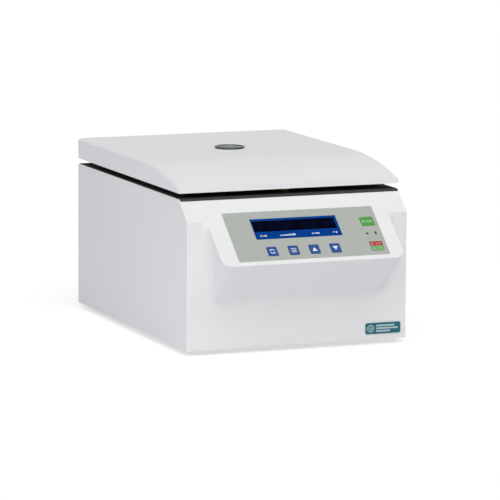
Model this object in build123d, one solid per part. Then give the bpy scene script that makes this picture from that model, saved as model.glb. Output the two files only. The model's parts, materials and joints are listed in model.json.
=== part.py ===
from build123d import *
import math
import os

# Bench-top laboratory centrifuge: a white moulded casing with a sloping control console, a domed lid on
# two rear hinges, a steel chamber with an angle rotor, and the motor, lock and electronics inside.
# Millimetres. X runs across the front, +Y to the back, +Z up. The origin lies on the bench, in the middle
# of the outline seen from above.

# ---------------------------------------------------------------- driving dimensions
WIDTH = 290.0            # casing and lid, side to side
BODY_DEPTH = 388.0       # casing front face to casing back edge
BODY_HEIGHT = 181.5      # casing without its feet
FOOT_HEIGHT = 6.0        # what the feet stand proud below the casing
WALL = 3.0               # casing and lid wall
CONSOLE_OUT = 55.5       # console lip in front of the casing's front face
CONSOLE_HALF = 119.5     # console half width on its sloping face
CONSOLE_DRAFT = 6.5      # draft of the console's sides and underside, degrees
CONSOLE_CORNER = 13.0    # rounding of the console's two lower corners
REAR_OUT = 4.0           # room for the inlet, switch and screws behind the casing
SLOPE_RUN = 27.9         # front face to the deck's front edge
SLOPE_DROP = 23.9        # deck to the top of the front face
LID_GAP = 7.3            # deck to the underside of the lid
LID_THICK = 26.5         # lid at the back
LID_SET_BACK = 27.2      # front face to the lid's front edge
LID_NOSE = 7.5           # height of the lid's front edge
LID_FLAT_FROM = 157.0    # front face to where the lid's top becomes flat
CHAMBER_BACK = 224.4     # front face to the rotor axis
CHAMBER_RADIUS = 108.0   # inside of the bowl
STRIKER_BACK = 44.0      # front face to the lid's striker
ROTOR_RADIUS = 86.0      # rim of the rotor
TUBE_COUNT = 12          # tube pockets in the rotor
HINGE_AT = 85.0          # hinges left and right of the middle
HINGE_IN = 3.6           # hinge axis in front of the casing's back edge
PIN_RADIUS = 1.6         # hinge pins
SCREW_RADIUS = 1.5       # shank of every screw and its hole
HEAD_RADIUS = 2.9        # pan heads
SUNK_RADIUS = 2.7        # countersunk heads
RECESS_RADIUS = 1.0      # drive recess in a pan head
PLAY = 0.3               # gap between pieces that move past each other
RUNNING = 0.05           # radial clearance of pins and shafts
EDGE_ROUND = 2.5         # rounding where the deck turns into the slope
KNEE_ROUND = 4.0         # rounding where the slope turns into the front face
SIDE_ROUND = 1.5         # rounding along the casing's sides
ROOT_ROUND = 10.0         # hollow rounding where the console leaves the front face
RIM_ROUND = 1.2          # rounding of the console's rim
CONSOLE_DEEP = 95.0      # how far the console's block reaches into the casing
GUIDE_RADIUS = 7.0       # hole in the deck that takes the striker's cone
POST_RADIUS = 3.0        # posts under the boards

# ---------------------------------------------------------------- levels worked out from them
FRONT = CONSOLE_OUT - (CONSOLE_OUT + BODY_DEPTH + REAR_OUT) / 2
BACK = FRONT + BODY_DEPTH
HALF = WIDTH / 2
BOTTOM = FOOT_HEIGHT
DECK = BOTTOM + BODY_HEIGHT
LID_BOTTOM = DECK + LID_GAP
LID_TOP = LID_BOTTOM + LID_THICK
EDGE_Y = FRONT + SLOPE_RUN
SLOPE = math.degrees(math.atan2(SLOPE_DROP, SLOPE_RUN))
LIP_T = (SLOPE_RUN + CONSOLE_OUT) / math.cos(math.radians(SLOPE))
FRONT_T = math.hypot(SLOPE_RUN, SLOPE_DROP)
ROTOR_Y = FRONT + CHAMBER_BACK
STRIKER_Y = FRONT + STRIKER_BACK
HINGE_Y = BACK - HINGE_IN
HINGE_Z = DECK + LID_GAP / 2
INNER = HALF - WALL
PLATE_TOP = BOTTOM + 2.0
REAR_FACE = BACK - 1.5   # inner face of the rear panel
OPENING_LIP = 8.0        # width of the casing's inward lips at the bottom and the back
BOWL_FLOOR = 96.0
BOWL_WALL = 1.2
FLANGE_TOP = DECK + BOWL_WALL
ROTOR_TOP = 152.0

# The console's face: local x across, local y up the slope, local z out of the face.
CONSOLE_OUTWARD = (0, -math.sin(math.radians(SLOPE)), math.cos(math.radians(SLOPE)))
CONSOLE = Plane(origin=(0, EDGE_Y, DECK), x_dir=(1, 0, 0), z_dir=CONSOLE_OUTWARD).location

# Keys on the console: name, centre across, centre down the slope, width, length.
KEYS = {
    "key_mode": (-50.7, 89.6, 12.9, 14.4),
    "key_set": (-22.9, 89.6, 12.9, 14.4),
    "key_up": (4.3, 89.6, 12.9, 14.4),
    "key_down": (31.9, 89.6, 12.9, 14.4),
    "key_start": (86.5, 50.0, 17.0, 14.0),
    "key_stop_open": (86.5, 90.0, 17.0, 14.6),
}
OVERLAY_X, OVERLAY_T = (-97.7, 99.9), (25.6, 103.7)
OVERLAY_PROUD, OVERLAY_THICK = 0.2, 0.6
WINDOW_X, WINDOW_T, WINDOW_THICK = (-65.2, 47.7), (37.3, 70.0), 1.6
LED_AT = ((80.1, 69.3), (91.5, 69.3))
LED_RADIUS = 1.6
INLET_X, SWITCH_X, SOCKET_Z = -95.0, -48.0, 42.0
SWITCH_SPAN = 8.2        # half height of the rocker
FAN_X, FAN_Z, FAN_SIZE, FAN_DEEP = 85.0, 92.0, 60.0, 20.0


# ---------------------------------------------------------------- boards and fasteners
BOARD_TOP = -8.4               # outer face of the keypad board, behind the console's face
BOARD_POSTS = [(x, t) for x in (-88, 70) for t in (74, 98)]
CONTROL_Y = FRONT + WALL + 7   # front of the control board
CONTROL_POSTS = [(x, z) for x in (-62, 62) for z in (20, 54)]
HINGE_SCREWS = [(side * HINGE_AT + dx, HINGE_Y - 15) for side in (-1, 1) for dx in (-17, 17)]
REAR_SCREWS = [(x, z) for x in (-138, 138) for z in (24, 98, 172)] + [(0, 15), (0, DECK - WALL - 4)]
FEET = [(x, y) for x in (-90, 90) for y in (FRONT + 58, BACK - 50)]
BASE_SCREWS = [(x, y) for x in (-138, 138) for y in (FRONT + 40, FRONT + 200, BACK - 40)]
FAN_SCREWS = [(FAN_X + dx, FAN_Z + dz) for dx in (-25, 25) for dz in (-25, 25)]
MOTOR_MOUNTS = [(dx, ROTOR_Y + dy) for dx in (-54, 54) for dy in (-54, 54)]
POWER_Z = 14.0           # underside of the power board
POWER_POSTS = [(x, y) for x in (-114, -16) for y in (FRONT + 30, FRONT + 84)]


# ---------------------------------------------------------------- small helpers
def block(x, y, z):
    """A box between two limits along each axis."""
    centre = [(pair[0] + pair[1]) / 2 for pair in (x, y, z)]
    return Pos(*centre) * Box(x[1] - x[0], y[1] - y[0], z[1] - z[0])


def disc(radius, z, at=(0.0, 0.0)):
    """An upright cylinder between two heights."""
    return Pos(at[0], at[1], (z[0] + z[1]) / 2) * Cylinder(radius, z[1] - z[0])


def ring(outer, inner, z, at=(0.0, 0.0)):
    return disc(outer, z, at) - disc(inner, z, at)


def rod_x(radius, x, at):
    """A cylinder along X through (y, z)."""
    return Pos((x[0] + x[1]) / 2, at[0], at[1]) * Rot(0, 90, 0) * Cylinder(radius, x[1] - x[0])


def rod_y(radius, y, at):
    """A cylinder along Y through (x, z)."""
    return Pos(at[0], (y[0] + y[1]) / 2, at[1]) * Rot(90, 0, 0) * Cylinder(radius, y[1] - y[0])


def turned(points, at=(0.0, 0.0)):
    """A solid of revolution about a vertical axis from (radius, height) points."""
    wire = Polyline(*[(r, 0, z) for r, z in points], close=True)
    return Pos(at[0], at[1], 0) * revolve(make_face(wire), Axis.Z)


def side_profile(points, half):
    """A prism between x = -half and x = half from (y, z) points."""
    wire = Polyline(*[(-half, y, z) for y, z in points], close=True)
    return extrude(make_face(wire), amount=2 * half, dir=(1, 0, 0))


def on_console(x, t, z):
    """A box on the console: x across, t down the slope, z out of the face."""
    return CONSOLE * block(x, (-t[1], -t[0]), z)


def console_pad(x, t, width, length, z, corner):
    """A pad with rounded corners standing between two levels of the console's face."""
    sketch = RectangleRounded(width, length, corner)
    return CONSOLE * Pos(x, -t, z[0]) * extrude(sketch, amount=z[1] - z[0])


def edges_at(shape, wanted):
    """The edges whose middle passes the test wanted(x, y, z)."""
    return [edge for edge in shape.edges() if wanted(*tuple(edge @ 0.5))]


def group(solids):
    """Identical separate pieces that share one node."""
    return Compound(children=list(solids))


# ---------------------------------------------------------------- casing
def console_wedge(inset):
    """The console as a drafted block, inset all round by the wall for its hollow."""
    half, corner = CONSOLE_HALF - inset, CONSOLE_CORNER - inset
    top, low = -FRONT_T / 2, -LIP_T + inset
    outline = make_face(Polyline((-half, top), (-half, low), (half, low), (half, top), close=True))
    lower = [v for v in outline.vertices() if v.Y < low + 1]
    outline = fillet(lower, corner)
    wedge = extrude(outline, amount=-CONSOLE_DEEP, taper=CONSOLE_DRAFT)
    if not inset:
        face = wedge.faces().sort_by(Axis.Z)[-1]
        wedge = fillet([edge for edge in face.edges() if (edge @ 0.5).Y < top - 1], RIM_ROUND)
    wedge = CONSOLE * Pos(0, 0, -inset) * wedge
    return wedge & block((-HALF, HALF), (FRONT - 2 * CONSOLE_OUT, FRONT + WALL + 1), (BOTTOM, DECK))


def body_points(inset):
    """The casing's side outline, inset by a wall from the front, the slope and the deck."""
    slope = math.radians(SLOPE)
    edge = EDGE_Y + inset * math.tan(slope / 2)
    knee = DECK - SLOPE_DROP - inset * math.tan((math.pi / 2 - slope) / 2)
    front, top = FRONT + inset, DECK - inset
    return [(front, BOTTOM), (BACK, BOTTOM), (BACK, top), (edge, top), (front, knee)]


def casing():
    body = side_profile(body_points(0), HALF)
    body = fillet(edges_at(body, lambda x, y, z: abs(y - EDGE_Y) < 1 and z > DECK - 1), EDGE_ROUND)
    knee = DECK - SLOPE_DROP
    body = fillet(edges_at(body, lambda x, y, z: abs(y - FRONT) < 0.1 and abs(z - knee) < 0.1), KNEE_ROUND)
    sides = edges_at(body, lambda x, y, z: abs(x) > HALF - 0.1 and z > BOTTOM + 1 and y < BACK - 0.1)
    shell = fillet(sides, SIDE_ROUND) + console_wedge(0)
    shell = fillet(edges_at(shell, is_console_root), ROOT_ROUND)
    hollow = side_profile(body_points(WALL), INNER) & block(
        (-INNER, INNER), (FRONT, BACK - WALL - 1.5), (PLATE_TOP + WALL, DECK)
    )
    shell = shell - hollow - console_wedge(WALL)
    shell -= block((-INNER, INNER), (FRONT + WALL, BACK - WALL - 1.5), (BOTTOM, PLATE_TOP))
    inside = (-INNER + OPENING_LIP, INNER - OPENING_LIP)
    shell -= block(inside, (FRONT + WALL + OPENING_LIP, BACK - 12), (BOTTOM, 40))
    shell -= block((-INNER, INNER), (REAR_FACE, BACK), (PLATE_TOP + WALL, DECK - WALL))
    shell -= block(inside, (BACK - 20, BACK), (PLATE_TOP + WALL + OPENING_LIP, DECK - WALL - OPENING_LIP))
    shell -= disc(CHAMBER_RADIUS + BOWL_WALL, (DECK - 10, DECK + 1), (0, ROTOR_Y))
    shell -= disc(GUIDE_RADIUS, (DECK - 10, DECK + 1), (0, STRIKER_Y))
    shell -= console_pad(
        sum(OVERLAY_X) / 2, sum(OVERLAY_T) / 2, OVERLAY_X[1] - OVERLAY_X[0], OVERLAY_T[1] - OVERLAY_T[0],
        (OVERLAY_PROUD - OVERLAY_THICK, 5), 1.5,
    )
    shell -= on_console(WINDOW_X, WINDOW_T, (OVERLAY_PROUD - WINDOW_THICK, 5))
    ledge = 2.5
    seen_x, seen_t = (WINDOW_X[0] + ledge, WINDOW_X[1] - ledge), (WINDOW_T[0] + ledge, WINDOW_T[1] - ledge)
    shell -= on_console(seen_x, seen_t, (-WALL - 1, 5))
    for x, t, width, length in KEYS.values():
        shell -= console_pad(x, t, width + 2 * PLAY, length + 2 * PLAY, (-WALL - 1, 5), 1.5)
    for x, t in LED_AT:
        shell -= CONSOLE * Pos(x, -t, 0) * Cylinder(LED_RADIUS, 4 * WALL)
    for x, t in BOARD_POSTS:
        shell += CONSOLE * Pos(x, -t, (BOARD_TOP - WALL) / 2) * Cylinder(POST_RADIUS, -BOARD_TOP - WALL)
    for x, z in CONTROL_POSTS:
        shell += rod_y(POST_RADIUS, (FRONT + WALL, CONTROL_Y), (x, z))
    for x, y in HINGE_SCREWS:
        shell -= disc(SCREW_RADIUS, (DECK - 5, DECK + 1), (x, y))
    for x, z in REAR_SCREWS:
        shell -= rod_y(SCREW_RADIUS, (BACK - 10, BACK), (x, z))
    for x, y in BASE_SCREWS:
        shell -= disc(SCREW_RADIUS, (BOTTOM, BOTTOM + 12), (x, y))
    return shell


def is_console_root(x, y, z):
    """Edges where the console's sides and underside leave the casing's front face."""
    return abs(y - FRONT) < 0.2 and abs(x) < CONSOLE_HALF + 1 and BOTTOM + 20 < z < DECK - SLOPE_DROP - 1


def rear_panel():
    panel = block((-INNER, INNER), (REAR_FACE, BACK), (PLATE_TOP + WALL, DECK - WALL))
    panel -= block((INLET_X - 13.6, INLET_X + 13.6), (REAR_FACE, BACK), (SOCKET_Z - 10, SOCKET_Z + 10))
    panel -= block((SWITCH_X - 6.5, SWITCH_X + 6.5), (REAR_FACE, BACK), (SOCKET_Z - 10.5, SOCKET_Z + 10.5))
    for radius in (8, 14, 20, 26):
        slots = rod_y(radius + 1.6, (REAR_FACE, BACK), (FAN_X, FAN_Z))
        slots -= rod_y(radius - 1.6, (REAR_FACE, BACK), (FAN_X, FAN_Z))
        for angle in (0, 90):
            bar = block((-30, 30), (REAR_FACE - 1, BACK + 1), (-2, 2))
            slots -= Pos(FAN_X, 0, FAN_Z) * Rot(0, angle + 45, 0) * bar
        panel -= slots
    for column in range(2):
        for row in range(8):
            centre_x, z = -105 + 44 * column, 92 + 9 * row
            panel -= block((centre_x - 17, centre_x + 17), (REAR_FACE, BACK), (z - 1.5, z + 1.5))
    for x, z in REAR_SCREWS + FAN_SCREWS:
        panel -= rod_y(SCREW_RADIUS, (REAR_FACE, BACK), (x, z))
    return panel


def base_plate():
    plate = block((-INNER, INNER), (FRONT + WALL, BACK - WALL - 1.5), (BOTTOM, PLATE_TOP))
    for x, y in POWER_POSTS:
        plate += disc(POST_RADIUS, (PLATE_TOP, POWER_Z), (x, y))
    for x, y in BASE_SCREWS + FEET:
        plate -= disc(SCREW_RADIUS, (BOTTOM, PLATE_TOP), (x, y))
    for index in range(5):
        y = ROTOR_Y - 40 + 20 * index
        plate -= block((-30, 30), (y - 2, y + 2), (BOTTOM, PLATE_TOP))
    return plate


def rubber_feet():
    foot = turned([
        (SCREW_RADIUS, 3.4), (3.2, 3.4), (3.2, 0), (10, 0), (12, 1.5), (11, FOOT_HEIGHT),
        (SCREW_RADIUS, FOOT_HEIGHT),
    ])
    return group(Pos(x, y, 0) * foot for x, y in FEET)


def base_screws():
    """Pan-head screws of the feet, and the ones that hold the base plate to the casing's lip."""
    foot = disc(HEAD_RADIUS, (1.8, 3.4)) + disc(SCREW_RADIUS, (1.8, PLATE_TOP + 5))
    foot -= disc(RECESS_RADIUS, (1.0, 2.6))
    edge = disc(HEAD_RADIUS, (BOTTOM - 1.6, BOTTOM)) + disc(SCREW_RADIUS, (BOTTOM - 1.6, PLATE_TOP + WALL))
    edge -= disc(RECESS_RADIUS, (BOTTOM - 2, BOTTOM - 0.8))
    return group([Pos(x, y, 0) * foot for x, y in FEET] + [Pos(x, y, 0) * edge for x, y in BASE_SCREWS])


def rear_screws():
    """Pan-head screws of the rear panel and of the fan."""
    screws = []
    for x, z in REAR_SCREWS + FAN_SCREWS:
        screw = rod_y(HEAD_RADIUS, (BACK, BACK + 1.7), (x, z))
        screw += rod_y(SCREW_RADIUS, (REAR_FACE - WALL, BACK), (x, z))
        screws.append(screw - rod_y(RECESS_RADIUS, (BACK + 0.8, BACK + 2), (x, z)))
    return group(screws)


def badge():
    plate = extrude(RectangleRounded(46.8, 13.6, 2.2), amount=1.2)
    plate = fillet(plate.faces().sort_by(Axis.Z)[-1].edges(), 0.4)
    return Pos(113.9, FRONT, BOTTOM + 13.9) * Rot(90, 0, 0) * plate


# ---------------------------------------------------------------- chamber and drive
def armour_ring():
    armour = ring(118, 113, (PLATE_TOP, DECK - WALL), (0, ROTOR_Y))
    for angle in range(0, 360, 90):
        window = block((-22, 22), (100, 130), (PLATE_TOP + 12, PLATE_TOP + 40))
        armour -= Pos(0, ROTOR_Y, 0) * Rot(0, 0, angle + 45) * window
    return armour


def chamber_bowl():
    inner, outer = CHAMBER_RADIUS, CHAMBER_RADIUS + BOWL_WALL
    floor, under = BOWL_FLOOR + BOWL_WALL, BOWL_FLOOR
    hole, bend = 22.0, 14.0
    points = [
        (hole, under), (outer - bend, under), (outer - 4, under + 4), (outer, under + bend), (outer, DECK),
        (122, DECK), (122, FLANGE_TOP), (inner, FLANGE_TOP), (inner, under + bend),
        (inner - 3.4, floor + 3.6), (inner - bend + 0.6, floor), (hole, floor),
    ]
    return turned(points, (0, ROTOR_Y))


def chamber_gasket():
    low, high = FLANGE_TOP, LID_BOTTOM - PLAY
    return turned([
        (112, low), (121, low), (121, low + 2.6), (118.4, high - 0.8), (117.4, high), (114.2, high),
        (113, high - 1), (112, low + 2),
    ], (0, ROTOR_Y))


MOUNT_PLATE_Z = (22.0, 25.0)
MOTOR_TOP = 88.0
SHAFT = 6.0
BEARING_OUT = 13.0


def motor_mount_plate():
    sketch = RectangleRounded(140, 140, 14)
    plate = Pos(0, ROTOR_Y, MOUNT_PLATE_Z[0]) * extrude(sketch, amount=MOUNT_PLATE_Z[1] - MOUNT_PLATE_Z[0])
    for x, y in MOTOR_MOUNTS:
        plate -= disc(4, MOUNT_PLATE_Z, (x, y))
    return plate


def vibration_mounts():
    low, high = PLATE_TOP, MOUNT_PLATE_Z[0]
    mount = turned([
        (0, low), (11, low), (9, (low + high) / 2), (11, high), (4, high), (4, high + 3), (7, high + 3),
        (5, high + 8), (0, high + 8),
    ])
    return group(Pos(x, y, 0) * mount for x, y in MOTOR_MOUNTS)


def motor_housing():
    """The motor's cooled can with its lower bearing seat."""
    low = MOUNT_PLATE_Z[1]
    can = turned([
        (0, low), (48, low), (48, MOTOR_TOP - 6), (44.5, MOTOR_TOP - 6), (44.5, low + 6), (17, low + 6),
        (17, low + 11), (BEARING_OUT, low + 11), (BEARING_OUT, low + 3), (0, low + 3),
    ], (0, ROTOR_Y))
    for index in range(24):
        rib = block((47.5, 50.5), (-1, 1), (low + 4, MOTOR_TOP - 10))
        can += Pos(0, ROTOR_Y, 0) * Rot(0, 0, 15 * index) * rib
    return can


def motor_end_cap():
    low = MOTOR_TOP - 6
    return turned([
        (8, MOTOR_TOP), (48, MOTOR_TOP), (48, low), (17, low), (17, low - 4), (BEARING_OUT, low - 4),
        (BEARING_OUT, MOTOR_TOP - 2), (8, MOTOR_TOP - 2),
    ], (0, ROTOR_Y))


def motor_stator():
    stator = ring(44.5, 26, (36, 76), (0, ROTOR_Y))
    for index in range(12):
        slot = block((28, 40), (-2.2, 2.2), (35, 77))
        stator -= Pos(0, ROTOR_Y, 0) * Rot(0, 0, 30 * index) * slot
    return stator


def motor_bearings():
    bores = SHAFT + RUNNING
    low = MOUNT_PLATE_Z[1] + 3
    lower = ring(BEARING_OUT, bores, (low, low + 8), (0, ROTOR_Y))
    upper = ring(BEARING_OUT, bores, (MOTOR_TOP - 10, MOTOR_TOP - 2), (0, ROTOR_Y))
    return group([lower, upper])


def shaft_seal():
    """Rubber bellows between the motor and the bowl's floor."""
    floor = BOWL_FLOOR + BOWL_WALL
    return turned([
        (10, MOTOR_TOP), (24, MOTOR_TOP), (20, MOTOR_TOP + 2.5), (24, MOTOR_TOP + 5), (22, BOWL_FLOOR),
        (22, floor), (25, floor), (25, floor + 0.8), (12, floor + 1.6), (12, MOTOR_TOP + 4),
        (10, MOTOR_TOP + 3),
    ], (0, ROTOR_Y))


def drive_shaft():
    shoulder = ROTOR_TOP - 4
    return turned([
        (0, MOUNT_PLATE_Z[1] + 3.4), (SHAFT, MOUNT_PLATE_Z[1] + 3.4), (SHAFT, shoulder), (4, shoulder),
        (4, 170), (0, 170),
    ], (0, ROTOR_Y))


def motor_rotor():
    return ring(25, SHAFT, (38, 75), (0, ROTOR_Y))


def rotor():
    """Aluminium angle rotor with a ring of slanting tube pockets."""
    solid = turned([
        (SHAFT, 102), (38, 102), (ROTOR_RADIUS, 122), (ROTOR_RADIUS, 148), (82, ROTOR_TOP), (78, ROTOR_TOP),
        (74, 150), (32, 140), (18, 140), (16, 148), (SHAFT, 148),
    ], (0, ROTOR_Y))
    for index in range(TUBE_COUNT):
        pocket = Pos(48, 0, 146) * Rot(0, -35, 0) * Pos(0, 0, -12) * Cylinder(5.6, 30)
        solid -= Pos(0, ROTOR_Y, 0) * Rot(0, 0, 360 / TUBE_COUNT * index) * pocket
    return solid


def rotor_lid():
    return turned([
        (4, 148), (14, 148), (14, ROTOR_TOP), (84, ROTOR_TOP), (84, 153.6), (81, 155.4), (60, 157),
        (16, 158.4), (16, 159), (4, 159),
    ], (0, ROTOR_Y))


def rotor_knob():
    """Screw-down knob with finger scallops and a closed top."""
    knob = turned([(4, 159), (15, 159), (15, 172), (13.5, 174), (0, 174), (0, 170), (4, 170)], (0, ROTOR_Y))
    for index in range(8):
        knob -= Pos(0, ROTOR_Y, 0) * Rot(0, 0, 45 * index) * disc(2.4, (161, 175), (16, 0))
    return knob


# ---------------------------------------------------------------- lid
LID_FRONT = FRONT + LID_SET_BACK
LID_ROUND = 4.5          # rounding of the lid's long upper edges
LINER_TOP = LID_BOTTOM + 2.0
GLASS_RADIUS = 16.0
LINER_SCREWS = [(x, y) for x in (-130, 130) for y in (LID_FRONT + 40, ROTOR_Y - 20, BACK - 40)]
LEAF_BOSSES = [(side * HINGE_AT - 24, side * HINGE_AT + 24) for side in (-1, 1)]


def lid_outline(inset):
    """Side outline of the lid: a low nose, one long arc that runs out level, and a flat back part."""
    run = LID_FLAT_FROM - LID_SET_BACK
    rise = LID_THICK - LID_NOSE
    radius = (run ** 2 + rise ** 2) / (2 * rise)
    flat_y = FRONT + LID_FLAT_FROM
    front, top = LID_FRONT + inset, LID_TOP - inset
    arc_radius = radius - inset
    nose = top - arc_radius + math.sqrt(arc_radius ** 2 - (flat_y - front) ** 2)
    middle = (flat_y - front) / 2
    crown = top - arc_radius + math.sqrt(arc_radius ** 2 - middle ** 2)
    low = LID_BOTTOM - (1 if inset else 0)
    back = BACK - inset
    straight = Polyline((0, flat_y, top), (0, back, top), (0, back, low), (0, front, low), (0, front, nose))
    return straight + ThreePointArc((0, front, nose), (0, flat_y - middle, crown), (0, flat_y, top))


def lid_block(inset):
    half = HALF - inset
    return Pos(-half, 0, 0) * extrude(make_face(lid_outline(inset)), amount=2 * half, dir=(1, 0, 0))


def lid_shell():
    block_out = lid_block(0)
    nose, ends = LID_BOTTOM + LID_NOSE + 1, (LID_FRONT + 1, BACK - 1)
    upper = edges_at(block_out, lambda x, y, z: abs(x) > HALF - 0.1 and z > nose and ends[0] < y < ends[1])
    upper += edges_at(block_out, lambda x, y, z: y > BACK - 0.1 and z > LID_TOP - 0.1)
    inner = lid_block(WALL)
    shell = fillet(upper, LID_ROUND) - inner
    posts = Part() + [disc(4, (LINER_TOP, LID_TOP - 1), place) for place in LINER_SCREWS]
    for x in LEAF_BOSSES:
        posts += block(x, (HINGE_Y - 24, BACK - 1), (LINER_TOP, LID_TOP - 1))
    posts += ring(GLASS_RADIUS + 3, GLASS_RADIUS, (LINER_TOP, LID_TOP - 1), (0, ROTOR_Y))
    posts += disc(9, (LINER_TOP, LID_TOP - 1), (0, STRIKER_Y))
    shell += posts & inner
    shell -= disc(GLASS_RADIUS, (LINER_TOP, LID_TOP + 1), (0, ROTOR_Y))
    shell -= disc(2.2, (LINER_TOP, LINER_TOP + 8), (0, STRIKER_Y))
    for place in LINER_SCREWS + HINGE_SCREWS:
        shell -= disc(SCREW_RADIUS, (LINER_TOP, LINER_TOP + 6), place)
    return shell


def lid_liner():
    slack = 0.2
    front, back = LID_FRONT + WALL + slack, BACK - WALL - slack
    plate = block((-INNER + slack, INNER - slack), (front, back), (LID_BOTTOM, LINER_TOP))
    plate -= disc(GLASS_RADIUS - 2, (LID_BOTTOM, LINER_TOP), (0, ROTOR_Y))
    plate -= disc(2.2, (LID_BOTTOM, LINER_TOP), (0, STRIKER_Y))
    for place in LINER_SCREWS + HINGE_SCREWS:
        plate -= disc(SCREW_RADIUS, (LID_BOTTOM, LINER_TOP), place)
    return plate


def liner_screws():
    """Pan-head screws under the liner, and the countersunk ones of the hinges' lid leaves."""
    tip = LINER_TOP + 5
    pan = disc(HEAD_RADIUS, (LID_BOTTOM - 1.5, LID_BOTTOM)) + disc(SCREW_RADIUS, (LID_BOTTOM, tip))
    pan -= disc(RECESS_RADIUS, (LID_BOTTOM - 2, LID_BOTTOM - 0.8))
    leaf = LID_BOTTOM - LEAF
    sunk = turned([(0, leaf), (SUNK_RADIUS, leaf), (SCREW_RADIUS, LID_BOTTOM), (SCREW_RADIUS, tip), (0, tip)])
    screws = [Pos(x, y, 0) * pan for x, y in LINER_SCREWS]
    return group(screws + [Pos(x, y, 0) * sunk for x, y in HINGE_SCREWS])


def sight_glass():
    """Clear plug seen through the lid, with a slightly crowned top."""
    top = LID_TOP + 1.5
    return turned([
        (0, LINER_TOP), (GLASS_RADIUS, LINER_TOP), (GLASS_RADIUS, top - 0.7), (14.4, top), (8, top + 0.4),
        (0, top + 0.5),
    ], (0, ROTOR_Y))


def sight_glass_bezel():
    bezel = ring(19.2, GLASS_RADIUS, (LID_TOP, LID_TOP + 2.4), (0, ROTOR_Y))
    return fillet(bezel.faces().sort_by(Axis.Z)[-1].edges(), 1.0)


def striker_pin():
    """Steel striker: threaded shank in the lid, neck for the bolt, and a round head."""
    return turned([
        (0, 163), (3, 163), (4.2, 165), (4.2, 167), (2, 169), (2, 189), (2.2, 189), (2.2, LINER_TOP + 7),
        (0, LINER_TOP + 7),
    ], (0, STRIKER_Y))


def striker_cone():
    """Brass guide cone that centres the striker."""
    low = DECK + 1.6
    points = [(2.2, low), (2.9, low), (5.6, LID_BOTTOM - 1), (5.6, LID_BOTTOM), (2.2, LID_BOTTOM)]
    return turned(points, (0, STRIKER_Y))


# ---------------------------------------------------------------- hinges
LEAF = 1.2
KNUCKLE = 3.3
FIXED_KNUCKLES = ((-24, -14), (14, 24))
LID_KNUCKLE = (-4, 4)


def hinge_leaf(side, z, knuckles, cut):
    """One leaf: a plate in front of the axis with its knuckles, cut back over the other leaf's spans."""
    leaf = block((-24, 24), (HINGE_Y - 22, HINGE_Y), z)
    for x in cut:
        leaf -= block(x, (HINGE_Y - 4.2, HINGE_Y + 1), z)
    for x in knuckles:
        leaf += rod_x(KNUCKLE, x, (HINGE_Y, HINGE_Z))
    return Pos(side * HINGE_AT, 0, 0) * leaf


def hinge_brackets():
    leaves = []
    for side in (-1, 1):
        leaf = hinge_leaf(side, (DECK, DECK + LEAF), FIXED_KNUCKLES, ((-14, 14),))
        leaf -= rod_x(PIN_RADIUS, (-HALF, HALF), (HINGE_Y, HINGE_Z))
        leaves.append(sink(leaf, DECK + LEAF, DECK))
    return group(leaves)


def lid_hinge_leaves():
    leaves = []
    for side in (-1, 1):
        leaf = hinge_leaf(side, (LID_BOTTOM - LEAF, LID_BOTTOM), (LID_KNUCKLE,), ((-25, -4), (4, 25)))
        leaf -= rod_x(PIN_RADIUS + RUNNING, (-HALF, HALF), (HINGE_Y, HINGE_Z))
        leaves.append(sink(leaf, LID_BOTTOM - LEAF, LID_BOTTOM))
    return group(leaves)


def sink(leaf, wide_z, narrow_z):
    """Countersunk holes through a hinge leaf."""
    points = [(0, wide_z), (SUNK_RADIUS, wide_z), (SCREW_RADIUS, narrow_z), (0, narrow_z)]
    for place in HINGE_SCREWS:
        leaf -= turned(points, place)
    return leaf


def hinge_pins():
    pin = rod_x(PIN_RADIUS, (-25, 25), (HINGE_Y, HINGE_Z))
    return group(Pos(side * HINGE_AT, 0, 0) * pin for side in (-1, 1))


def hinge_springs():
    """Close-wound springs round the pins, between the knuckles."""
    wire, inner = 0.9, PIN_RADIUS + 0.15
    turns, springs = 10, []
    for middle in (-9, 9):
        coil = Part()
        for turn in range(turns):
            x = middle + (turn - (turns - 1) / 2) * wire
            coil += Pos(x, 0, 0) * Rot(0, 90, 0) * Torus(inner + wire / 2, wire / 2)
        core = rod_x(inner + 0.6, (middle - 4.2, middle + 4.2), (0, 0))
        core -= rod_x(inner + 0.1, (middle - 5, middle + 5), (0, 0))
        springs.append(coil + core)
    return group(Pos(side * HINGE_AT, HINGE_Y, HINGE_Z) * spring for side in (-1, 1) for spring in springs)


def hinge_screws():
    """Countersunk screws that hold the fixed leaves to the deck."""
    top, tip = DECK + LEAF, DECK - WALL - 3
    screw = turned([(0, top), (SUNK_RADIUS, top), (SCREW_RADIUS, DECK), (SCREW_RADIUS, tip), (0, tip)])
    return group(Pos(x, y, 0) * screw for x, y in HINGE_SCREWS)


# ---------------------------------------------------------------- lid lock
LOCK_LOW, LOCK_TOP = 155.0, DECK - WALL
BOLT_Z = (171.5, 174.5)
ROD_RADIUS = 3.0


def lock_housing():
    middle = sum(BOLT_Z) / 2
    housing = block((-28, 28), (STRIKER_Y - 12, STRIKER_Y + 14), (LOCK_LOW, LOCK_TOP))
    housing -= block((-24, 24), (STRIKER_Y - 8, STRIKER_Y + 8), (LOCK_LOW + 3, LOCK_TOP - 3))
    housing -= disc(GUIDE_RADIUS, (LOCK_TOP - 4, LOCK_TOP + 1), (0, STRIKER_Y))
    housing -= rod_x(ROD_RADIUS + RUNNING, (-29, -23), (STRIKER_Y, middle))
    return housing


def lock_bolt():
    """Sliding bolt: a keyhole plate on the solenoid's plunger."""
    middle = sum(BOLT_Z) / 2
    plate = block((-21, 13), (STRIKER_Y - 7.5, STRIKER_Y + 7.5), BOLT_Z)
    plate -= disc(5.8, BOLT_Z, (0, STRIKER_Y))
    plate -= block((-10, 0), (STRIKER_Y - 2.7, STRIKER_Y + 2.7), BOLT_Z)
    return plate + rod_x(ROD_RADIUS, (-48, -20), (STRIKER_Y, middle))


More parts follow.
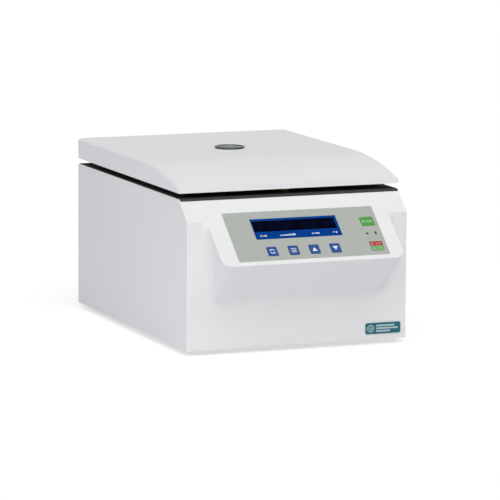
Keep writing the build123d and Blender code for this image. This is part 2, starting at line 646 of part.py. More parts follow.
def lock_solenoid():
    middle = sum(BOLT_Z) / 2
    solenoid = rod_x(11.0, (-55, -30), (STRIKER_Y, middle))
    for x, z in (((-57, -54), (162, 184)), ((-31, -28), (162, 184)), ((-57, -28), (160, 162.5))):
        solenoid += block(x, (STRIKER_Y - 11, STRIKER_Y + 11), z)
    return solenoid - rod_x(ROD_RADIUS + RUNNING, (-52, -27), (STRIKER_Y, middle))


def lid_switch():
    body = block((30, 50), (STRIKER_Y - 5, STRIKER_Y + 5), (168, DECK - WALL))
    body += block((28, 30), (STRIKER_Y - 5, STRIKER_Y + 5), (172, 180))
    for x in (35, 45):
        body -= rod_y(1.3, (STRIKER_Y - 6, STRIKER_Y + 6), (x, 173))
        body += block((x - 0.4, x + 0.4), (STRIKER_Y - 1.5, STRIKER_Y + 1.5), (162, 168))
    return body


# ---------------------------------------------------------------- console
def keypad_overlay():
    overlay = console_pad(
        sum(OVERLAY_X) / 2, sum(OVERLAY_T) / 2, OVERLAY_X[1] - OVERLAY_X[0], OVERLAY_T[1] - OVERLAY_T[0],
        (OVERLAY_PROUD - OVERLAY_THICK, OVERLAY_PROUD), 1.5,
    )
    overlay -= on_console(WINDOW_X, WINDOW_T, (-5, 5))
    for x, t, width, length in KEYS.values():
        overlay -= console_pad(x, t, width + 2 * PLAY, length + 2 * PLAY, (-5, 5), 1.5)
    for x, t in LED_AT:
        overlay -= CONSOLE * Pos(x, -t, 0) * Cylinder(LED_RADIUS, 10)
    return overlay


def display_window():
    return on_console(WINDOW_X, WINDOW_T, (OVERLAY_PROUD - WINDOW_THICK, OVERLAY_PROUD))


def display_module():
    """Display block standing on the keypad board behind the window."""
    module = Part()
    for inset, z in ((5, (-5.5, -3.2)), (3, (BOARD_TOP, -5.5))):
        x, t = (WINDOW_X[0] + inset, WINDOW_X[1] - inset), (WINDOW_T[0] + inset, WINDOW_T[1] - inset)
        module += on_console(x, t, z)
    return module


def status_leds():
    lens = Pos(0, 0, -1.35) * Cylinder(LED_RADIUS, 3.5) + Pos(0, 0, -5.75) * Cylinder(LED_RADIUS + 0.6, 5.3)
    return group(CONSOLE * Pos(x, -t, 0) * lens for x, t in LED_AT)


def keypad_board():
    board = on_console((-94, 97), (34, 102), (BOARD_TOP - 1.6, BOARD_TOP))
    board += on_console((-20, 20), (84, 92), (BOARD_TOP - 7, BOARD_TOP - 1.6))
    board += on_console((-60, -40), (48, 66), (BOARD_TOP - 4, BOARD_TOP - 1.6))
    return board


def key_switches():
    switch = Pos(0, 0, (BOARD_TOP - 5.2) / 2) * Box(6, 6, -BOARD_TOP - 5.2)
    switch += Pos(0, 0, -4.95) * Cylinder(1.7, 0.6)
    return group(CONSOLE * Pos(x, -t, 0) * switch for x, t, _, _ in KEYS.values())


def key(x, t, width, length):
    """A key cap with the flange that holds it behind the console's wall."""
    top = OVERLAY_PROUD + 0.2
    cap = console_pad(x, t, width, length, (-WALL - 0.2, top), 1.2)
    outer_face = cap.faces().sort_by(Axis(origin=(0, 0, 0), direction=CONSOLE_OUTWARD))[-1]
    cap = fillet(outer_face.edges(), 0.15)
    return cap + console_pad(x, t, width + 2.4, length + 2.4, (-WALL - 1.2, -WALL - 0.2), 1.5)


# ---------------------------------------------------------------- electronics


def control_board():
    board = block((-70, 70), (CONTROL_Y, CONTROL_Y + 1.6), (14, 60))
    face = CONTROL_Y + 1.6
    chips = ((-40, 18, 38, 18, 3), (5, 24, 30, 8, 11), (40, 12, 40, 12, 4), (-12, 8, 44, 20, 9))
    for x, width, z, height, deep in chips:
        sides = (x - width / 2, x + width / 2)
        board += block(sides, (face, face + deep), (z - height / 2, z + height / 2))
    return board


def power_board():
    board = block((-120, -10), (FRONT + 24, FRONT + 90), (POWER_Z, POWER_Z + 1.6))
    board += block((-115, -85), (FRONT + 66, FRONT + 86), (POWER_Z + 1.6, POWER_Z + 18))
    return board + block((-78, -60), (FRONT + 68, FRONT + 84), (POWER_Z + 1.6, POWER_Z + 14))


def capacitors():
    top = POWER_Z + 1.6
    can = turned([
        (0, top), (11, top), (11, top + 4), (10.4, top + 5), (11, top + 6), (11, top + 35), (10, top + 36),
        (0, top + 36),
    ])
    return group(Pos(x, FRONT + 44, 0) * can for x in (-102, -76))


def heat_sink():
    low = POWER_Z + 1.6
    sink_block = block((-54, -16), (FRONT + 30, FRONT + 82), (low, low + 5))
    for index in range(7):
        x = -53 + 6 * index
        sink_block += block((x - 1, x + 1), (FRONT + 30, FRONT + 82), (low + 5, low + 30))
    return sink_block


def power_inlet():
    """Three-pole appliance inlet with its flange on the rear panel."""
    z = SOCKET_Z
    body = block((INLET_X - 13.6, INLET_X + 13.6), (BACK - 24, BACK), (z - 10, z + 10))
    body += block((INLET_X - 17, INLET_X + 17), (BACK, BACK + 3), (z - 14, z + 14))
    body -= block((INLET_X - 12, INLET_X + 12), (BACK - 14, BACK + 4), (z - 8.2, z + 8.2))
    for dx, dz in ((-7, -2), (7, -2), (0, 3)):
        x, level = INLET_X + dx, z + dz
        body += block((x - 1, x + 1), (BACK - 15, BACK + 0.5), (level - 2, level + 2))
    return body


def switch_housing():
    z = SOCKET_Z
    body = block((SWITCH_X - 6.5, SWITCH_X + 6.5), (BACK - 20, BACK), (z - 10.5, z + 10.5))
    body += block((SWITCH_X - 8.5, SWITCH_X + 8.5), (BACK, BACK + 1.6), (z - 12.5, z + 12.5))
    reach = SWITCH_SPAN + PLAY
    body -= block((SWITCH_X - 4.8, SWITCH_X + 4.8), (BACK - 12, BACK + 2), (z - reach, z + reach))
    return body - rod_x(1.5 + RUNNING, (SWITCH_X - 6, SWITCH_X + 6), (BACK - 1, z))


def power_rocker():
    """Rocker on its two trunnions: its upper half stands proud until it is pressed."""
    points = [(-10, 10), (-10, -10), (2, -10), (0.9, 0), (1.2 + 10 * math.tan(math.radians(25)), 10)]
    wedge = Pos(SWITCH_X, BACK - 1, SOCKET_Z) * side_profile(points, 4.5)
    rocker = wedge & rod_x(SWITCH_SPAN, (SWITCH_X - 4.5, SWITCH_X + 4.5), (BACK - 1, SOCKET_Z))
    return rocker + rod_x(1.5, (SWITCH_X - 5.9, SWITCH_X + 5.9), (BACK - 1, SOCKET_Z))


def fan_frame():
    inner, outer = REAR_FACE - FAN_DEEP, REAR_FACE
    half = FAN_SIZE / 2
    frame = block((FAN_X - half, FAN_X + half), (inner, outer), (FAN_Z - half, FAN_Z + half))
    frame -= rod_y(28, (inner - 1, outer + 1), (FAN_X, FAN_Z))
    frame += rod_y(11, (inner, inner + 3), (FAN_X, FAN_Z))
    for angle in (45, 135):
        arm = block((-30, 30), (inner, inner + 3), (-1.6, 1.6))
        frame += Pos(FAN_X, 0, FAN_Z) * Rot(0, angle, 0) * arm
    for x, z in FAN_SCREWS:
        frame -= rod_y(SCREW_RADIUS, (outer - WALL, outer), (x, z))
    return frame - rod_y(1.5 + RUNNING, (inner - 1, inner + 4), (FAN_X, FAN_Z))


def fan_impeller():
    inner, outer = REAR_FACE - FAN_DEEP + 3.5, REAR_FACE - 1.0
    hub = rod_y(11, (inner, outer), (FAN_X, FAN_Z)) + rod_y(1.5, (inner - 3, inner), (FAN_X, FAN_Z))
    for index in range(7):
        blade = Pos(18.5, (inner + outer) / 2, 0) * Rot(38, 0, 0) * Box(17, outer - inner, 1.4)
        hub += Pos(FAN_X, 0, FAN_Z) * Rot(0, 360 / 7 * index, 0) * blade
    return hub


MAKERS = (
    casing, rear_panel, base_plate, rubber_feet, base_screws, rear_screws, badge, armour_ring,
    chamber_bowl, chamber_gasket, motor_mount_plate, vibration_mounts, motor_housing, motor_end_cap,
    motor_stator, motor_bearings, shaft_seal, drive_shaft, motor_rotor, rotor, rotor_lid, rotor_knob,
    lid_shell, lid_liner, liner_screws, sight_glass, sight_glass_bezel, striker_pin, striker_cone,
    hinge_brackets, lid_hinge_leaves, hinge_pins, hinge_springs, hinge_screws, lock_housing, lock_bolt,
    lock_solenoid, lid_switch, keypad_overlay, display_window, display_module, status_leds,
    keypad_board, key_switches, control_board, power_board, capacitors, heat_sink, power_inlet,
    switch_housing, power_rocker, fan_frame, fan_impeller,
)

os.makedirs("parts", exist_ok=True)
for make in MAKERS:
    export_step(make(), "parts/" + make.__name__ + ".step")
for name, place in KEYS.items():
    export_step(key(*place), "parts/" + name + ".step")
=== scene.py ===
import json
import math

import bmesh
import bpy
from bpy.props import FloatProperty, FloatVectorProperty, IntProperty, PointerProperty
from mathutils import Matrix, Vector


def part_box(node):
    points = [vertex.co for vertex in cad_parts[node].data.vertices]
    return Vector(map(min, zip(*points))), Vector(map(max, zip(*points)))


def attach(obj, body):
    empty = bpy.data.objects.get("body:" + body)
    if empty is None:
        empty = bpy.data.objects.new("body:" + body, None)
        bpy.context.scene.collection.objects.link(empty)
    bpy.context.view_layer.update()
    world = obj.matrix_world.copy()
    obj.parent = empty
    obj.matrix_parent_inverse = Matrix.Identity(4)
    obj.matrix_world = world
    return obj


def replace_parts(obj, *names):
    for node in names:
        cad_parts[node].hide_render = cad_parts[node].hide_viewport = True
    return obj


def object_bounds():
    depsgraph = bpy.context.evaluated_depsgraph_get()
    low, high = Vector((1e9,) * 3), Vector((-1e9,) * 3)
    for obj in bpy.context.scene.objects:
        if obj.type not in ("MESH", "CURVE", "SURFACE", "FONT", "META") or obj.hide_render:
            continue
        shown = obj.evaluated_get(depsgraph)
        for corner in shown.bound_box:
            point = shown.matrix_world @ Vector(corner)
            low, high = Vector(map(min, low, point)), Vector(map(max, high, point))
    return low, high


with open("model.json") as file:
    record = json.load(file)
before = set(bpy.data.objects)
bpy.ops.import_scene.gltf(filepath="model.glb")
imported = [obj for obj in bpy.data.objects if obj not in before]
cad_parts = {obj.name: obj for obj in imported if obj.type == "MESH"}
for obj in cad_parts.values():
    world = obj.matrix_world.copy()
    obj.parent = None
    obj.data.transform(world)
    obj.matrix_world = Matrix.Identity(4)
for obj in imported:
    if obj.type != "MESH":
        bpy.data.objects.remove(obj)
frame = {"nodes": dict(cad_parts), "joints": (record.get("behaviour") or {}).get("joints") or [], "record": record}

CAD_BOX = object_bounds()
MM = 0.001
WELD = 1e-7               # vertices nearer than this become one
ON_AXIS = 1e-9            # a lathe's point nearer its axis than this lies on it
FLANGE = 1.2 * MM         # what a key's flange adds round its cap
SHADE_SHEET_THICKNESS = 0.8 * MM           # thickness of the dark sheet on the deck, which paints the shade under the lid
SHADE_SHEET_BORDER = 3 * MM      # strip of the dark sheet along the deck's front edge, from which it folds down

bl_info = {
    "name": "Bench Centrifuge",
    "version": (1, 0, 0),
    "blender": (4, 5, 0),
    "location": "View3D > Sidebar > Centrifuge",
    "description": "Finishes, printed marks, small parts and stage of a bench-top laboratory centrifuge",
    "category": "Object",
}

NODES = frame["nodes"]
BODY_OF = {node: body for body, nodes in frame["record"]["behaviour"]["bodies"].items() for node in nodes}
JOINTS = {joint["name"]: joint for joint in frame["joints"]}
CONSOLE_OUT = -Vector(JOINTS["key_up_press"]["axis"])
ROTOR_AXIS = Vector(JOINTS["rotor_spin"]["pos_m"])
FAN_AXIS = Vector(JOINTS["fan_spin"]["pos_m"])
HINGE_LINE = Vector(JOINTS["lid_hinge"]["pos_m"])


# ------------------------------------------------------------------ settings a user would change
class CentrifugeFinish(bpy.types.PropertyGroup):
    """Colours and finishes of the centrifuge; only blue and ink reach a finish in use, see recipes"""

    casing: FloatVectorProperty(
        name="Casing", description="White of the moulded casing", subtype="COLOR", size=3, min=0, max=1,
        default=(0.80, 0.80, 0.805),
    )
    lid: FloatVectorProperty(
        name="Lid", description="White of the lid", subtype="COLOR", size=3, min=0, max=1,
        default=(0.79, 0.80, 0.81),
    )
    overlay: FloatVectorProperty(
        name="Keypad film", description="Grey green of the printed keypad film", subtype="COLOR", size=3,
        min=0, max=1, default=(0.43, 0.455, 0.41),
    )
    blue: FloatVectorProperty(
        name="Blue", description="Display surround and setting keys", subtype="COLOR", size=3, min=0, max=1,
        default=(0.0, 0.047, 0.27),
    )
    green: FloatVectorProperty(
        name="Green", description="Start key", subtype="COLOR", size=3, min=0, max=1,
        default=(0.06, 0.31, 0.035),
    )
    red: FloatVectorProperty(
        name="Red", description="Stop half of the stop and open key", subtype="COLOR", size=3, min=0, max=1,
        default=(0.43, 0.022, 0.03),
    )
    teal: FloatVectorProperty(
        name="Badge", description="Teal of the badge", subtype="COLOR", size=3, min=0, max=1,
        default=(0.0, 0.135, 0.165),
    )
    ink: FloatVectorProperty(
        name="Ink", description="Pale ink of the printed symbols", subtype="COLOR", size=3, min=0, max=1,
        default=(0.80, 0.86, 0.90),
    )
    gloss: FloatProperty(
        name="Moulding roughness", description="Roughness of the white mouldings", subtype="FACTOR",
        min=0.05, max=1.0, default=0.36,
    )


class CentrifugePrint(bpy.types.PropertyGroup):
    """Sizes of the printed symbols and of the small turned parts"""

    film: FloatProperty(
        name="Print height", description="Thickness of a printed symbol", unit="LENGTH", subtype="DISTANCE",
        min=0.00001, max=0.0005, default=0.00005,
    )
    symbol: FloatProperty(
        name="Key symbol", description="Size of the symbol on a key, as a share of the key",
        subtype="FACTOR", min=0.2, max=0.9, default=0.52,
    )
    digit_height: FloatProperty(
        name="Digit height", description="Height of the unlit digits", unit="LENGTH", subtype="DISTANCE",
        min=0.004, max=0.014, default=0.0092,
    )
    round_steps: IntProperty(
        name="Round steps", description="Sides of a turned part", min=24, max=256, default=96,
    )


class CentrifugeStage(bpy.types.PropertyGroup):
    """Camera, light and floor"""

    camera_place: FloatVectorProperty(
        name="Camera", description="Place of the camera", size=3, subtype="TRANSLATION", unit="LENGTH",
        default=(-1.744, -4.262, 0.804),
    )
    heading: FloatProperty(
        name="Heading", description="Camera turned from straight at the front towards the right side",
        unit="ROTATION", subtype="ANGLE", default=math.radians(22.32),
    )
    tilt: FloatProperty(
        name="Tilt", description="Camera tilted down from level", unit="ROTATION", subtype="ANGLE",
        default=math.radians(8.71),
    )
    roll: FloatProperty(
        name="Roll", description="Camera turned about its own line of sight", unit="ROTATION",
        subtype="ANGLE", default=math.radians(0.35),
    )
    focal_length: FloatProperty(
        name="Focal length", description="Lens of the camera in millimetres on a 36 mm sensor",
        min=20, max=600, default=266.65,
    )
    sky: FloatProperty(
        name="Ambient light", description="Strength of the even studio light", min=0, max=5, default=0.37,
    )
    key: FloatProperty(
        name="Soft box", description="Strength of the broad light above the front left", min=0, max=20,
        default=1.92,
    )
    key_from: FloatVectorProperty(
        name="Soft box direction", description="Where the broad light shines to", size=3,
        subtype="DIRECTION", default=(0.14, 0.55, -0.82),
    )
    fill: FloatProperty(
        name="Fill light", description="Power of the small light low beside the front left corner",
        unit="POWER", min=0, max=5, default=0.16,
    )
    fill_place: FloatVectorProperty(
        name="Fill place", description="Place of the small light", size=3, subtype="TRANSLATION",
        unit="LENGTH", default=(-0.50, -0.25, 0.07),
    )


def finish():
    """The colours and finishes in use."""
    return bpy.context.scene.centrifuge_finish


def prints():
    """The sizes of printed symbols and turned parts in use."""
    return bpy.context.scene.centrifuge_print


# ------------------------------------------------------------------ shader node groups
def add(tree, kind, values=None, **settings):
    """A shader node with its settings, its input values and its input links."""
    made = tree.nodes.new("ShaderNode" + kind)
    for name, value in settings.items():
        setattr(made, name, value)
    for name, value in (values or {}).items():
        if isinstance(value, bpy.types.NodeSocket):
            tree.links.new(value, made.inputs[name])
        else:
            made.inputs[name].default_value = value
    return made


def effect(name, inputs, outputs, build):
    """A node group with named sockets, built once: build(tree, inputs) returns the sockets to put out."""
    if name in bpy.data.node_groups:
        return bpy.data.node_groups[name]
    tree = bpy.data.node_groups.new(name, "ShaderNodeTree")
    for label, kind, value in inputs:
        socket = tree.interface.new_socket(name=label, in_out="INPUT", socket_type=kind)
        socket.default_value = value
    for label in outputs:
        tree.interface.new_socket(name=label, in_out="OUTPUT", socket_type="NodeSocketFloat")
    entry = tree.nodes.new("NodeGroupInput")
    leave = tree.nodes.new("NodeGroupOutput")
    for label, socket in zip(outputs, build(tree, entry.outputs)):
        tree.links.new(socket, leave.inputs[label])
    return tree


def noise(tree, scale, detail=2.0, rough=0.5, vector=None):
    """Noise over the piece's own space, so that it moves with the piece."""
    place = vector or add(tree, "TexCoord").outputs["Object"]
    made = add(tree, "TexNoise", {"Vector": place, "Scale": scale, "Detail": detail, "Roughness": rough})
    return made.outputs["Fac"]


def stretched(tree, value, low, high, to_low=0.0, to_high=1.0):
    """A value stretched from one range to another and kept inside it."""
    made = add(tree, "MapRange", {
        "Value": value, "From Min": low, "From Max": high, "To Min": to_low, "To Max": to_high,
    })
    return made.outputs["Result"]


def maths(tree, operation, first, second=0.0):
    """One arithmetic step on two values."""
    made = add(tree, "Math", {0: first, 1: second}, operation=operation)
    return made.outputs["Value"]


def mixed(tree, factor, first, second):
    """Two colours mixed by a factor."""
    made = add(tree, "Mix", {"Factor": factor, "A": first, "B": second}, data_type="RGBA")
    return made.outputs["Result"]


def slow_tone():
    """Slow, cloudy drift of tone, as a moulding or a coat of paint has."""
    def build(tree, given):
        cloud = noise(tree, given["Scale"], 3.0, 0.55)
        return [stretched(tree, cloud, 0.32, 0.68)]
    return effect("Slow Tone", [("Scale", "NodeSocketFloat", 9.0)], ["Tone"], build)


def moulded_grain():
    """Orange peel with a finer grain over it."""
    def build(tree, given):
        peel = noise(tree, given["Peel Scale"], 1.5, 0.4)
        grain = noise(tree, given["Grain Scale"], 2.0, 0.6)
        fine = maths(tree, "MULTIPLY", grain, given["Grain Share"])
        return [maths(tree, "ADD", peel, fine)]
    inputs = [
        ("Peel Scale", "NodeSocketFloat", 260.0), ("Grain Scale", "NodeSocketFloat", 2400.0),
        ("Grain Share", "NodeSocketFloat", 0.35),
    ]
    return effect("Moulded Grain", inputs, ["Height"], build)


def settled_dust():
    """Thin dust that lies on what faces up, in patches."""
    def build(tree, given):
        up = add(tree, "SeparateXYZ", {"Vector": add(tree, "TexCoord").outputs["Normal"]}).outputs["Z"]
        facing = stretched(tree, up, 0.35, 1.0)
        patches = stretched(tree, noise(tree, given["Scale"], 4.0, 0.65), 0.45, 0.8)
        return [maths(tree, "MULTIPLY", maths(tree, "MULTIPLY", facing, patches), given["Amount"])]
    inputs = [("Scale", "NodeSocketFloat", 30.0), ("Amount", "NodeSocketFloat", 0.3)]
    return effect("Settled Dust", inputs, ["Dust"], build)


def fine_scratches():
    """Sparse hairline scratches in two directions."""
    def build(tree, given):
        place = add(tree, "TexCoord").outputs["Object"]
        masks = []
        for angle, squeeze in ((0.5, (1.0, 28.0, 4.0)), (-0.9, (22.0, 1.0, 6.0))):
            turned = add(tree, "Mapping", {
                "Vector": place, "Rotation": (0.2, 0.1, angle), "Scale": squeeze,
            }).outputs["Vector"]
            masks.append(stretched(tree, noise(tree, given["Scale"], 3.0, 0.7, turned), 0.66, 0.72))
        return [maths(tree, "MULTIPLY", maths(tree, "MAXIMUM", *masks), given["Amount"])]
    inputs = [("Scale", "NodeSocketFloat", 26.0), ("Amount", "NodeSocketFloat", 0.5)]
    return effect("Fine Scratches", inputs, ["Scratch"], build)


def turned_rings():
    """Fine tool rings about an upright axis, as on a turned or spun part."""
    def build(tree, given):
        offset = add(tree, "VectorMath", {
            0: add(tree, "TexCoord").outputs["Object"], 1: given["Axis"],
        }, operation="SUBTRACT").outputs["Vector"]
        parts = add(tree, "SeparateXYZ", {"Vector": offset})
        flat = add(tree, "CombineXYZ", {"X": parts.outputs["X"], "Y": parts.outputs["Y"]}).outputs["Vector"]
        radius = add(tree, "VectorMath", {0: flat}, operation="LENGTH").outputs["Value"]
        along = add(tree, "CombineXYZ", {"X": radius, "Z": parts.outputs["Z"]}).outputs["Vector"]
        fine = noise(tree, given["Rings"], 2.0, 0.7, along)
        broad = noise(tree, maths(tree, "MULTIPLY", given["Rings"], 0.12), 2.0, 0.5, along)
        return [fine, stretched(tree, maths(tree, "ADD", fine, broad), 0.7, 1.3)]
    inputs = [("Axis", "NodeSocketVector", (0.0, 0.0, 0.0)), ("Rings", "NodeSocketFloat", 900.0)]
    return effect("Turned Rings", inputs, ["Height", "Tone"], build)


def brushed_lines():
    """Straight brush marks along one direction."""
    def build(tree, given):
        place = add(tree, "VectorMath", {
            0: add(tree, "TexCoord").outputs["Object"], 1: given["Squeeze"],
        }, operation="MULTIPLY").outputs["Vector"]
        lines = noise(tree, given["Scale"], 3.0, 0.7, place)
        return [lines, stretched(tree, lines, 0.3, 0.7)]
    inputs = [("Squeeze", "NodeSocketVector", (0.03, 1.0, 1.0)), ("Scale", "NodeSocketFloat", 1400.0)]
    return effect("Brushed Lines", inputs, ["Height", "Tone"], build)


# ------------------------------------------------------------------ materials
def apply_effect(tree, group, values):
    """Places an effect's node group in a material and returns its outputs."""
    made = tree.nodes.new("ShaderNodeGroup")
    made.node_tree = group
    for name, value in values.items():
        made.inputs[name].default_value = value
    return made.outputs


def opaque(colour):
    return tuple(colour[:3]) + (1.0,)


def shade(colour, factor):
    """A colour made darker or lighter by a factor."""
    return opaque([max(0.0, min(1.0, channel * factor)) for channel in colour[:3]])


def start_material(name, colour, roughness, **values):
    """A new material with its shader set: values are the shader's own sockets by name."""
    material = bpy.data.materials.new(name)
    material.use_nodes = True
    material.diffuse_color = opaque(colour)
    shader = material.node_tree.nodes["Principled BSDF"]
    shader.inputs["Base Color"].default_value = opaque(colour)
    shader.inputs["Roughness"].default_value = roughness
    for label, value in values.items():
        shader.inputs[label.replace("_", " ")].default_value = value
    return material, material.node_tree, shader


def paint(tree, shader, factor, first, second):
    """Base colour mixed from two colours by a factor."""
    base = mixed(tree, factor, first, second)
    tree.links.new(base, shader.inputs["Base Color"])
    return base


def drift(tree, shader, colour, tone, low, high):
    """Base colour that drifts between a darker and a lighter shade with a tone."""
    return paint(tree, shader, tone, shade(colour, low), shade(colour, high))


def over(tree, shader, below, mask, colour):
    """A colour laid over the base colour where a mask is."""
    return paint(tree, shader, mask, below, opaque(colour))


def cloudy(tree, scale):
    """Tone of a slow, cloudy drift."""
    return apply_effect(tree, slow_tone(), {"Scale": scale})["Tone"]


def scratched(tree, scale, amount):
    """Mask of hairline scratches."""
    return apply_effect(tree, fine_scratches(), {"Scale": scale, "Amount": amount})["Scratch"]


def dusted(tree, scale, amount):
    """Mask of settled dust."""
    return apply_effect(tree, settled_dust(), {"Scale": scale, "Amount": amount})["Dust"]


def rough_between(tree, shader, tone, low, high):
    """Roughness that follows a tone between two values."""
    tree.links.new(stretched(tree, tone, 0.0, 1.0, low, high), shader.inputs["Roughness"])


def bump(tree, shader, height, strength, distance):
    """A relief of a height, as a bump on the surface."""
    raised = add(tree, "Bump", {"Height": height, "Strength": strength, "Distance": distance})
    tree.links.new(raised.outputs["Normal"], shader.inputs["Normal"])


def grained(tree, shader, peel, grain, share, strength, distance):
    """Moulded grain as a bump: the scales of its peel and its grain, and the grain's share."""
    marks = apply_effect(tree, moulded_grain(), {
        "Peel Scale": peel, "Grain Scale": grain, "Grain Share": share,
    })
    bump(tree, shader, marks["Height"], strength, distance)


def white_moulding(name, colour, roughness):
    """Satin white plastic: faint cloudiness, orange peel, a little dust and hairline scratches."""
    material, tree, shader = start_material(name, colour, roughness, Coat_Weight=0.12, Coat_Roughness=0.18)
    tone = cloudy(tree, 7.0)
    base = drift(tree, shader, colour, tone, 0.975, 1.01)
    dust = dusted(tree, 42.0, 0.10)
    over(tree, shader, base, dust, (0.66, 0.65, 0.62))
    scratch = scratched(tree, 19.0, 0.35)
    worn = maths(tree, "ADD", maths(tree, "MULTIPLY", tone, 0.6), scratch)
    rough_between(tree, shader, worn, roughness - 0.05, roughness + 0.09)
    grained(tree, shader, 300.0, 2600.0, 0.4, 0.10, 0.0002)
    return material


def dark_moulding(name, colour=(0.018, 0.018, 0.02), roughness=0.48):
    """Black or dark plastic with a spark-eroded texture."""
    material, tree, shader = start_material(name, colour, roughness)
    tone = cloudy(tree, 35.0)
    base = drift(tree, shader, colour, tone, 0.75, 1.3)
    dust = dusted(tree, 60.0, 0.18)
    over(tree, shader, base, dust, (0.16, 0.155, 0.15))
    rough_between(tree, shader, tone, roughness - 0.08, roughness + 0.1)
    grained(tree, shader, 900.0, 4200.0, 0.8, 0.35, 0.0003)
    return material


def glossy_moulding(name, colour):
    """Polished dark plastic that mirrors at a low angle, with hairline scratches."""
    material, tree, shader = start_material(name, colour, 0.12, Coat_Weight=1.0, Coat_Roughness=0.06)
    tone = cloudy(tree, 60.0)
    drift(tree, shader, colour, tone, 0.8, 1.3)
    scratch = scratched(tree, 80.0, 0.5)
    rough_between(tree, shader, scratch, 0.10, 0.3)
    return material


def soft_rubber(name, colour=(0.014, 0.014, 0.015), clouds=0.4, bloomed=0.22):
    """Matt rubber with clouds of tone and bloom on it."""
    material, tree, shader = start_material(name, colour, 0.78)
    tone = cloudy(tree, 55.0)
    base = drift(tree, shader, colour, tone, 1 - clouds, 1 + clouds)
    bloom = dusted(tree, 90.0, bloomed)
    over(tree, shader, base, bloom, (0.10, 0.098, 0.095))
    rough_between(tree, shader, tone, 0.66, 0.88)
    grained(tree, shader, 700.0, 3000.0, 1.0, 0.45, 0.0003)
    return material


def printed_film(name, colour, roughness=0.42, sheen=0.3):
    """Printed polyester film: even colour, fine crystal texture, a soft sheen."""
    material, tree, shader = start_material(name, colour, roughness, Specular_IOR_Level=sheen)
    tone = cloudy(tree, 22.0)
    drift(tree, shader, colour, tone, 0.965, 1.03)
    scratch = scratched(tree, 60.0, 0.4)
    worn = maths(tree, "ADD", maths(tree, "MULTIPLY", tone, 0.5), scratch)
    rough_between(tree, shader, worn, roughness - 0.04, roughness + 0.1)
    grained(tree, shader, 1500.0, 5200.0, 0.9, 0.18, 0.0001)
    return material


def tinted_window(name, colour, roughness=0.09, sheen=0.12):
    """Anti-glare window with its tint printed behind it, wiped clean but not perfectly."""
    material, tree, shader = start_material(name, colour, roughness, Specular_IOR_Level=sheen)
    tone = cloudy(tree, 30.0)
    drift(tree, shader, colour, tone, 0.93, 1.05)
    wiped = scratched(tree, 45.0, 0.6)
    smeared = maths(tree, "MAXIMUM", maths(tree, "MULTIPLY", tone, 0.4), wiped)
    rough_between(tree, shader, smeared, roughness, roughness + 0.16)
    return material


def turned_metal(name, colour, roughness, rings=900.0, axis=ROTOR_AXIS, metallic=1.0):
    """Turned or spun metal with tool rings about an upright axis."""
    material, tree, shader = start_material(name, colour, roughness, Metallic=metallic)
    marks = apply_effect(tree, turned_rings(), {"Axis": axis, "Rings": rings})
    drift(tree, shader, colour, marks["Tone"], 0.86, 1.06)
    smear = cloudy(tree, 40.0)
    handled = maths(tree, "MULTIPLY", maths(tree, "ADD", marks["Tone"], smear), 0.5)
    rough_between(tree, shader, handled, roughness - 0.07, roughness + 0.12)
    bump(tree, shader, marks["Height"], 0.16, 0.0002)
    return material


def brushed_metal(name, colour, roughness, squeeze=(0.03, 1.0, 1.0)):
    """Sheet metal with straight brush marks and the odd scratch."""
    material, tree, shader = start_material(name, colour, roughness, Metallic=1.0)
    marks = apply_effect(tree, brushed_lines(), {"Squeeze": squeeze, "Scale": 1400.0})
    drift(tree, shader, colour, marks["Tone"], 0.84, 1.08)
    scratch = scratched(tree, 34.0, 0.6)
    worn = maths(tree, "MAXIMUM", marks["Tone"], scratch)
    rough_between(tree, shader, worn, roughness - 0.08, roughness + 0.14)
    bump(tree, shader, marks["Height"], 0.12, 0.0002)
    return material


def zinc_plate(name):
    """Zinc-plated steel, slightly yellow and blue in patches."""
    colour = (0.56, 0.56, 0.53)
    material, tree, shader = start_material(name, colour, 0.34, Metallic=1.0)
    tone = cloudy(tree, 70.0)
    paint(tree, shader, tone, (0.50, 0.53, 0.56, 1.0), (0.62, 0.59, 0.50, 1.0))
    rough_between(tree, shader, tone, 0.28, 0.46)
    grained(tree, shader, 1100.0, 3800.0, 0.6, 0.2, 0.0001)
    return material


def powder_coat(name, colour=(0.42, 0.43, 0.44), roughness=0.55):
    """Fine powder coat on sheet steel."""
    material, tree, shader = start_material(name, colour, roughness)
    tone = cloudy(tree, 14.0)
    base = drift(tree, shader, colour, tone, 0.93, 1.05)
    dust = dusted(tree, 40.0, 0.25)
    over(tree, shader, base, dust, (0.5, 0.49, 0.47))
    rough_between(tree, shader, tone, roughness - 0.07, roughness + 0.08)
    grained(tree, shader, 1300.0, 3400.0, 0.7, 0.4, 0.0003)
    return material


def cast_iron(name):
    """Dark painted casting with a rough skin."""
    colour = (0.05, 0.052, 0.056)
    material, tree, shader = start_material(name, colour, 0.6, Metallic=0.2)
    tone = cloudy(tree, 60.0)
    drift(tree, shader, colour, tone, 0.7, 1.4)
    rough_between(tree, shader, tone, 0.5, 0.72)
    grained(tree, shader, 420.0, 1800.0, 0.9, 0.6, 0.0008)
    return material


def copper_winding(name):
    """Lacquered copper wire, wound close."""
    colour = (0.55, 0.2, 0.07)
    material, tree, shader = start_material(name, colour, 0.32, Metallic=0.85)
    marks = apply_effect(tree, brushed_lines(), {"Squeeze": (1.0, 1.0, 0.02), "Scale": 900.0})
    drift(tree, shader, colour, marks["Tone"], 0.6, 1.15)
    rough_between(tree, shader, marks["Tone"], 0.22, 0.42)
    bump(tree, shader, marks["Height"], 0.6, 0.0006)
    return material


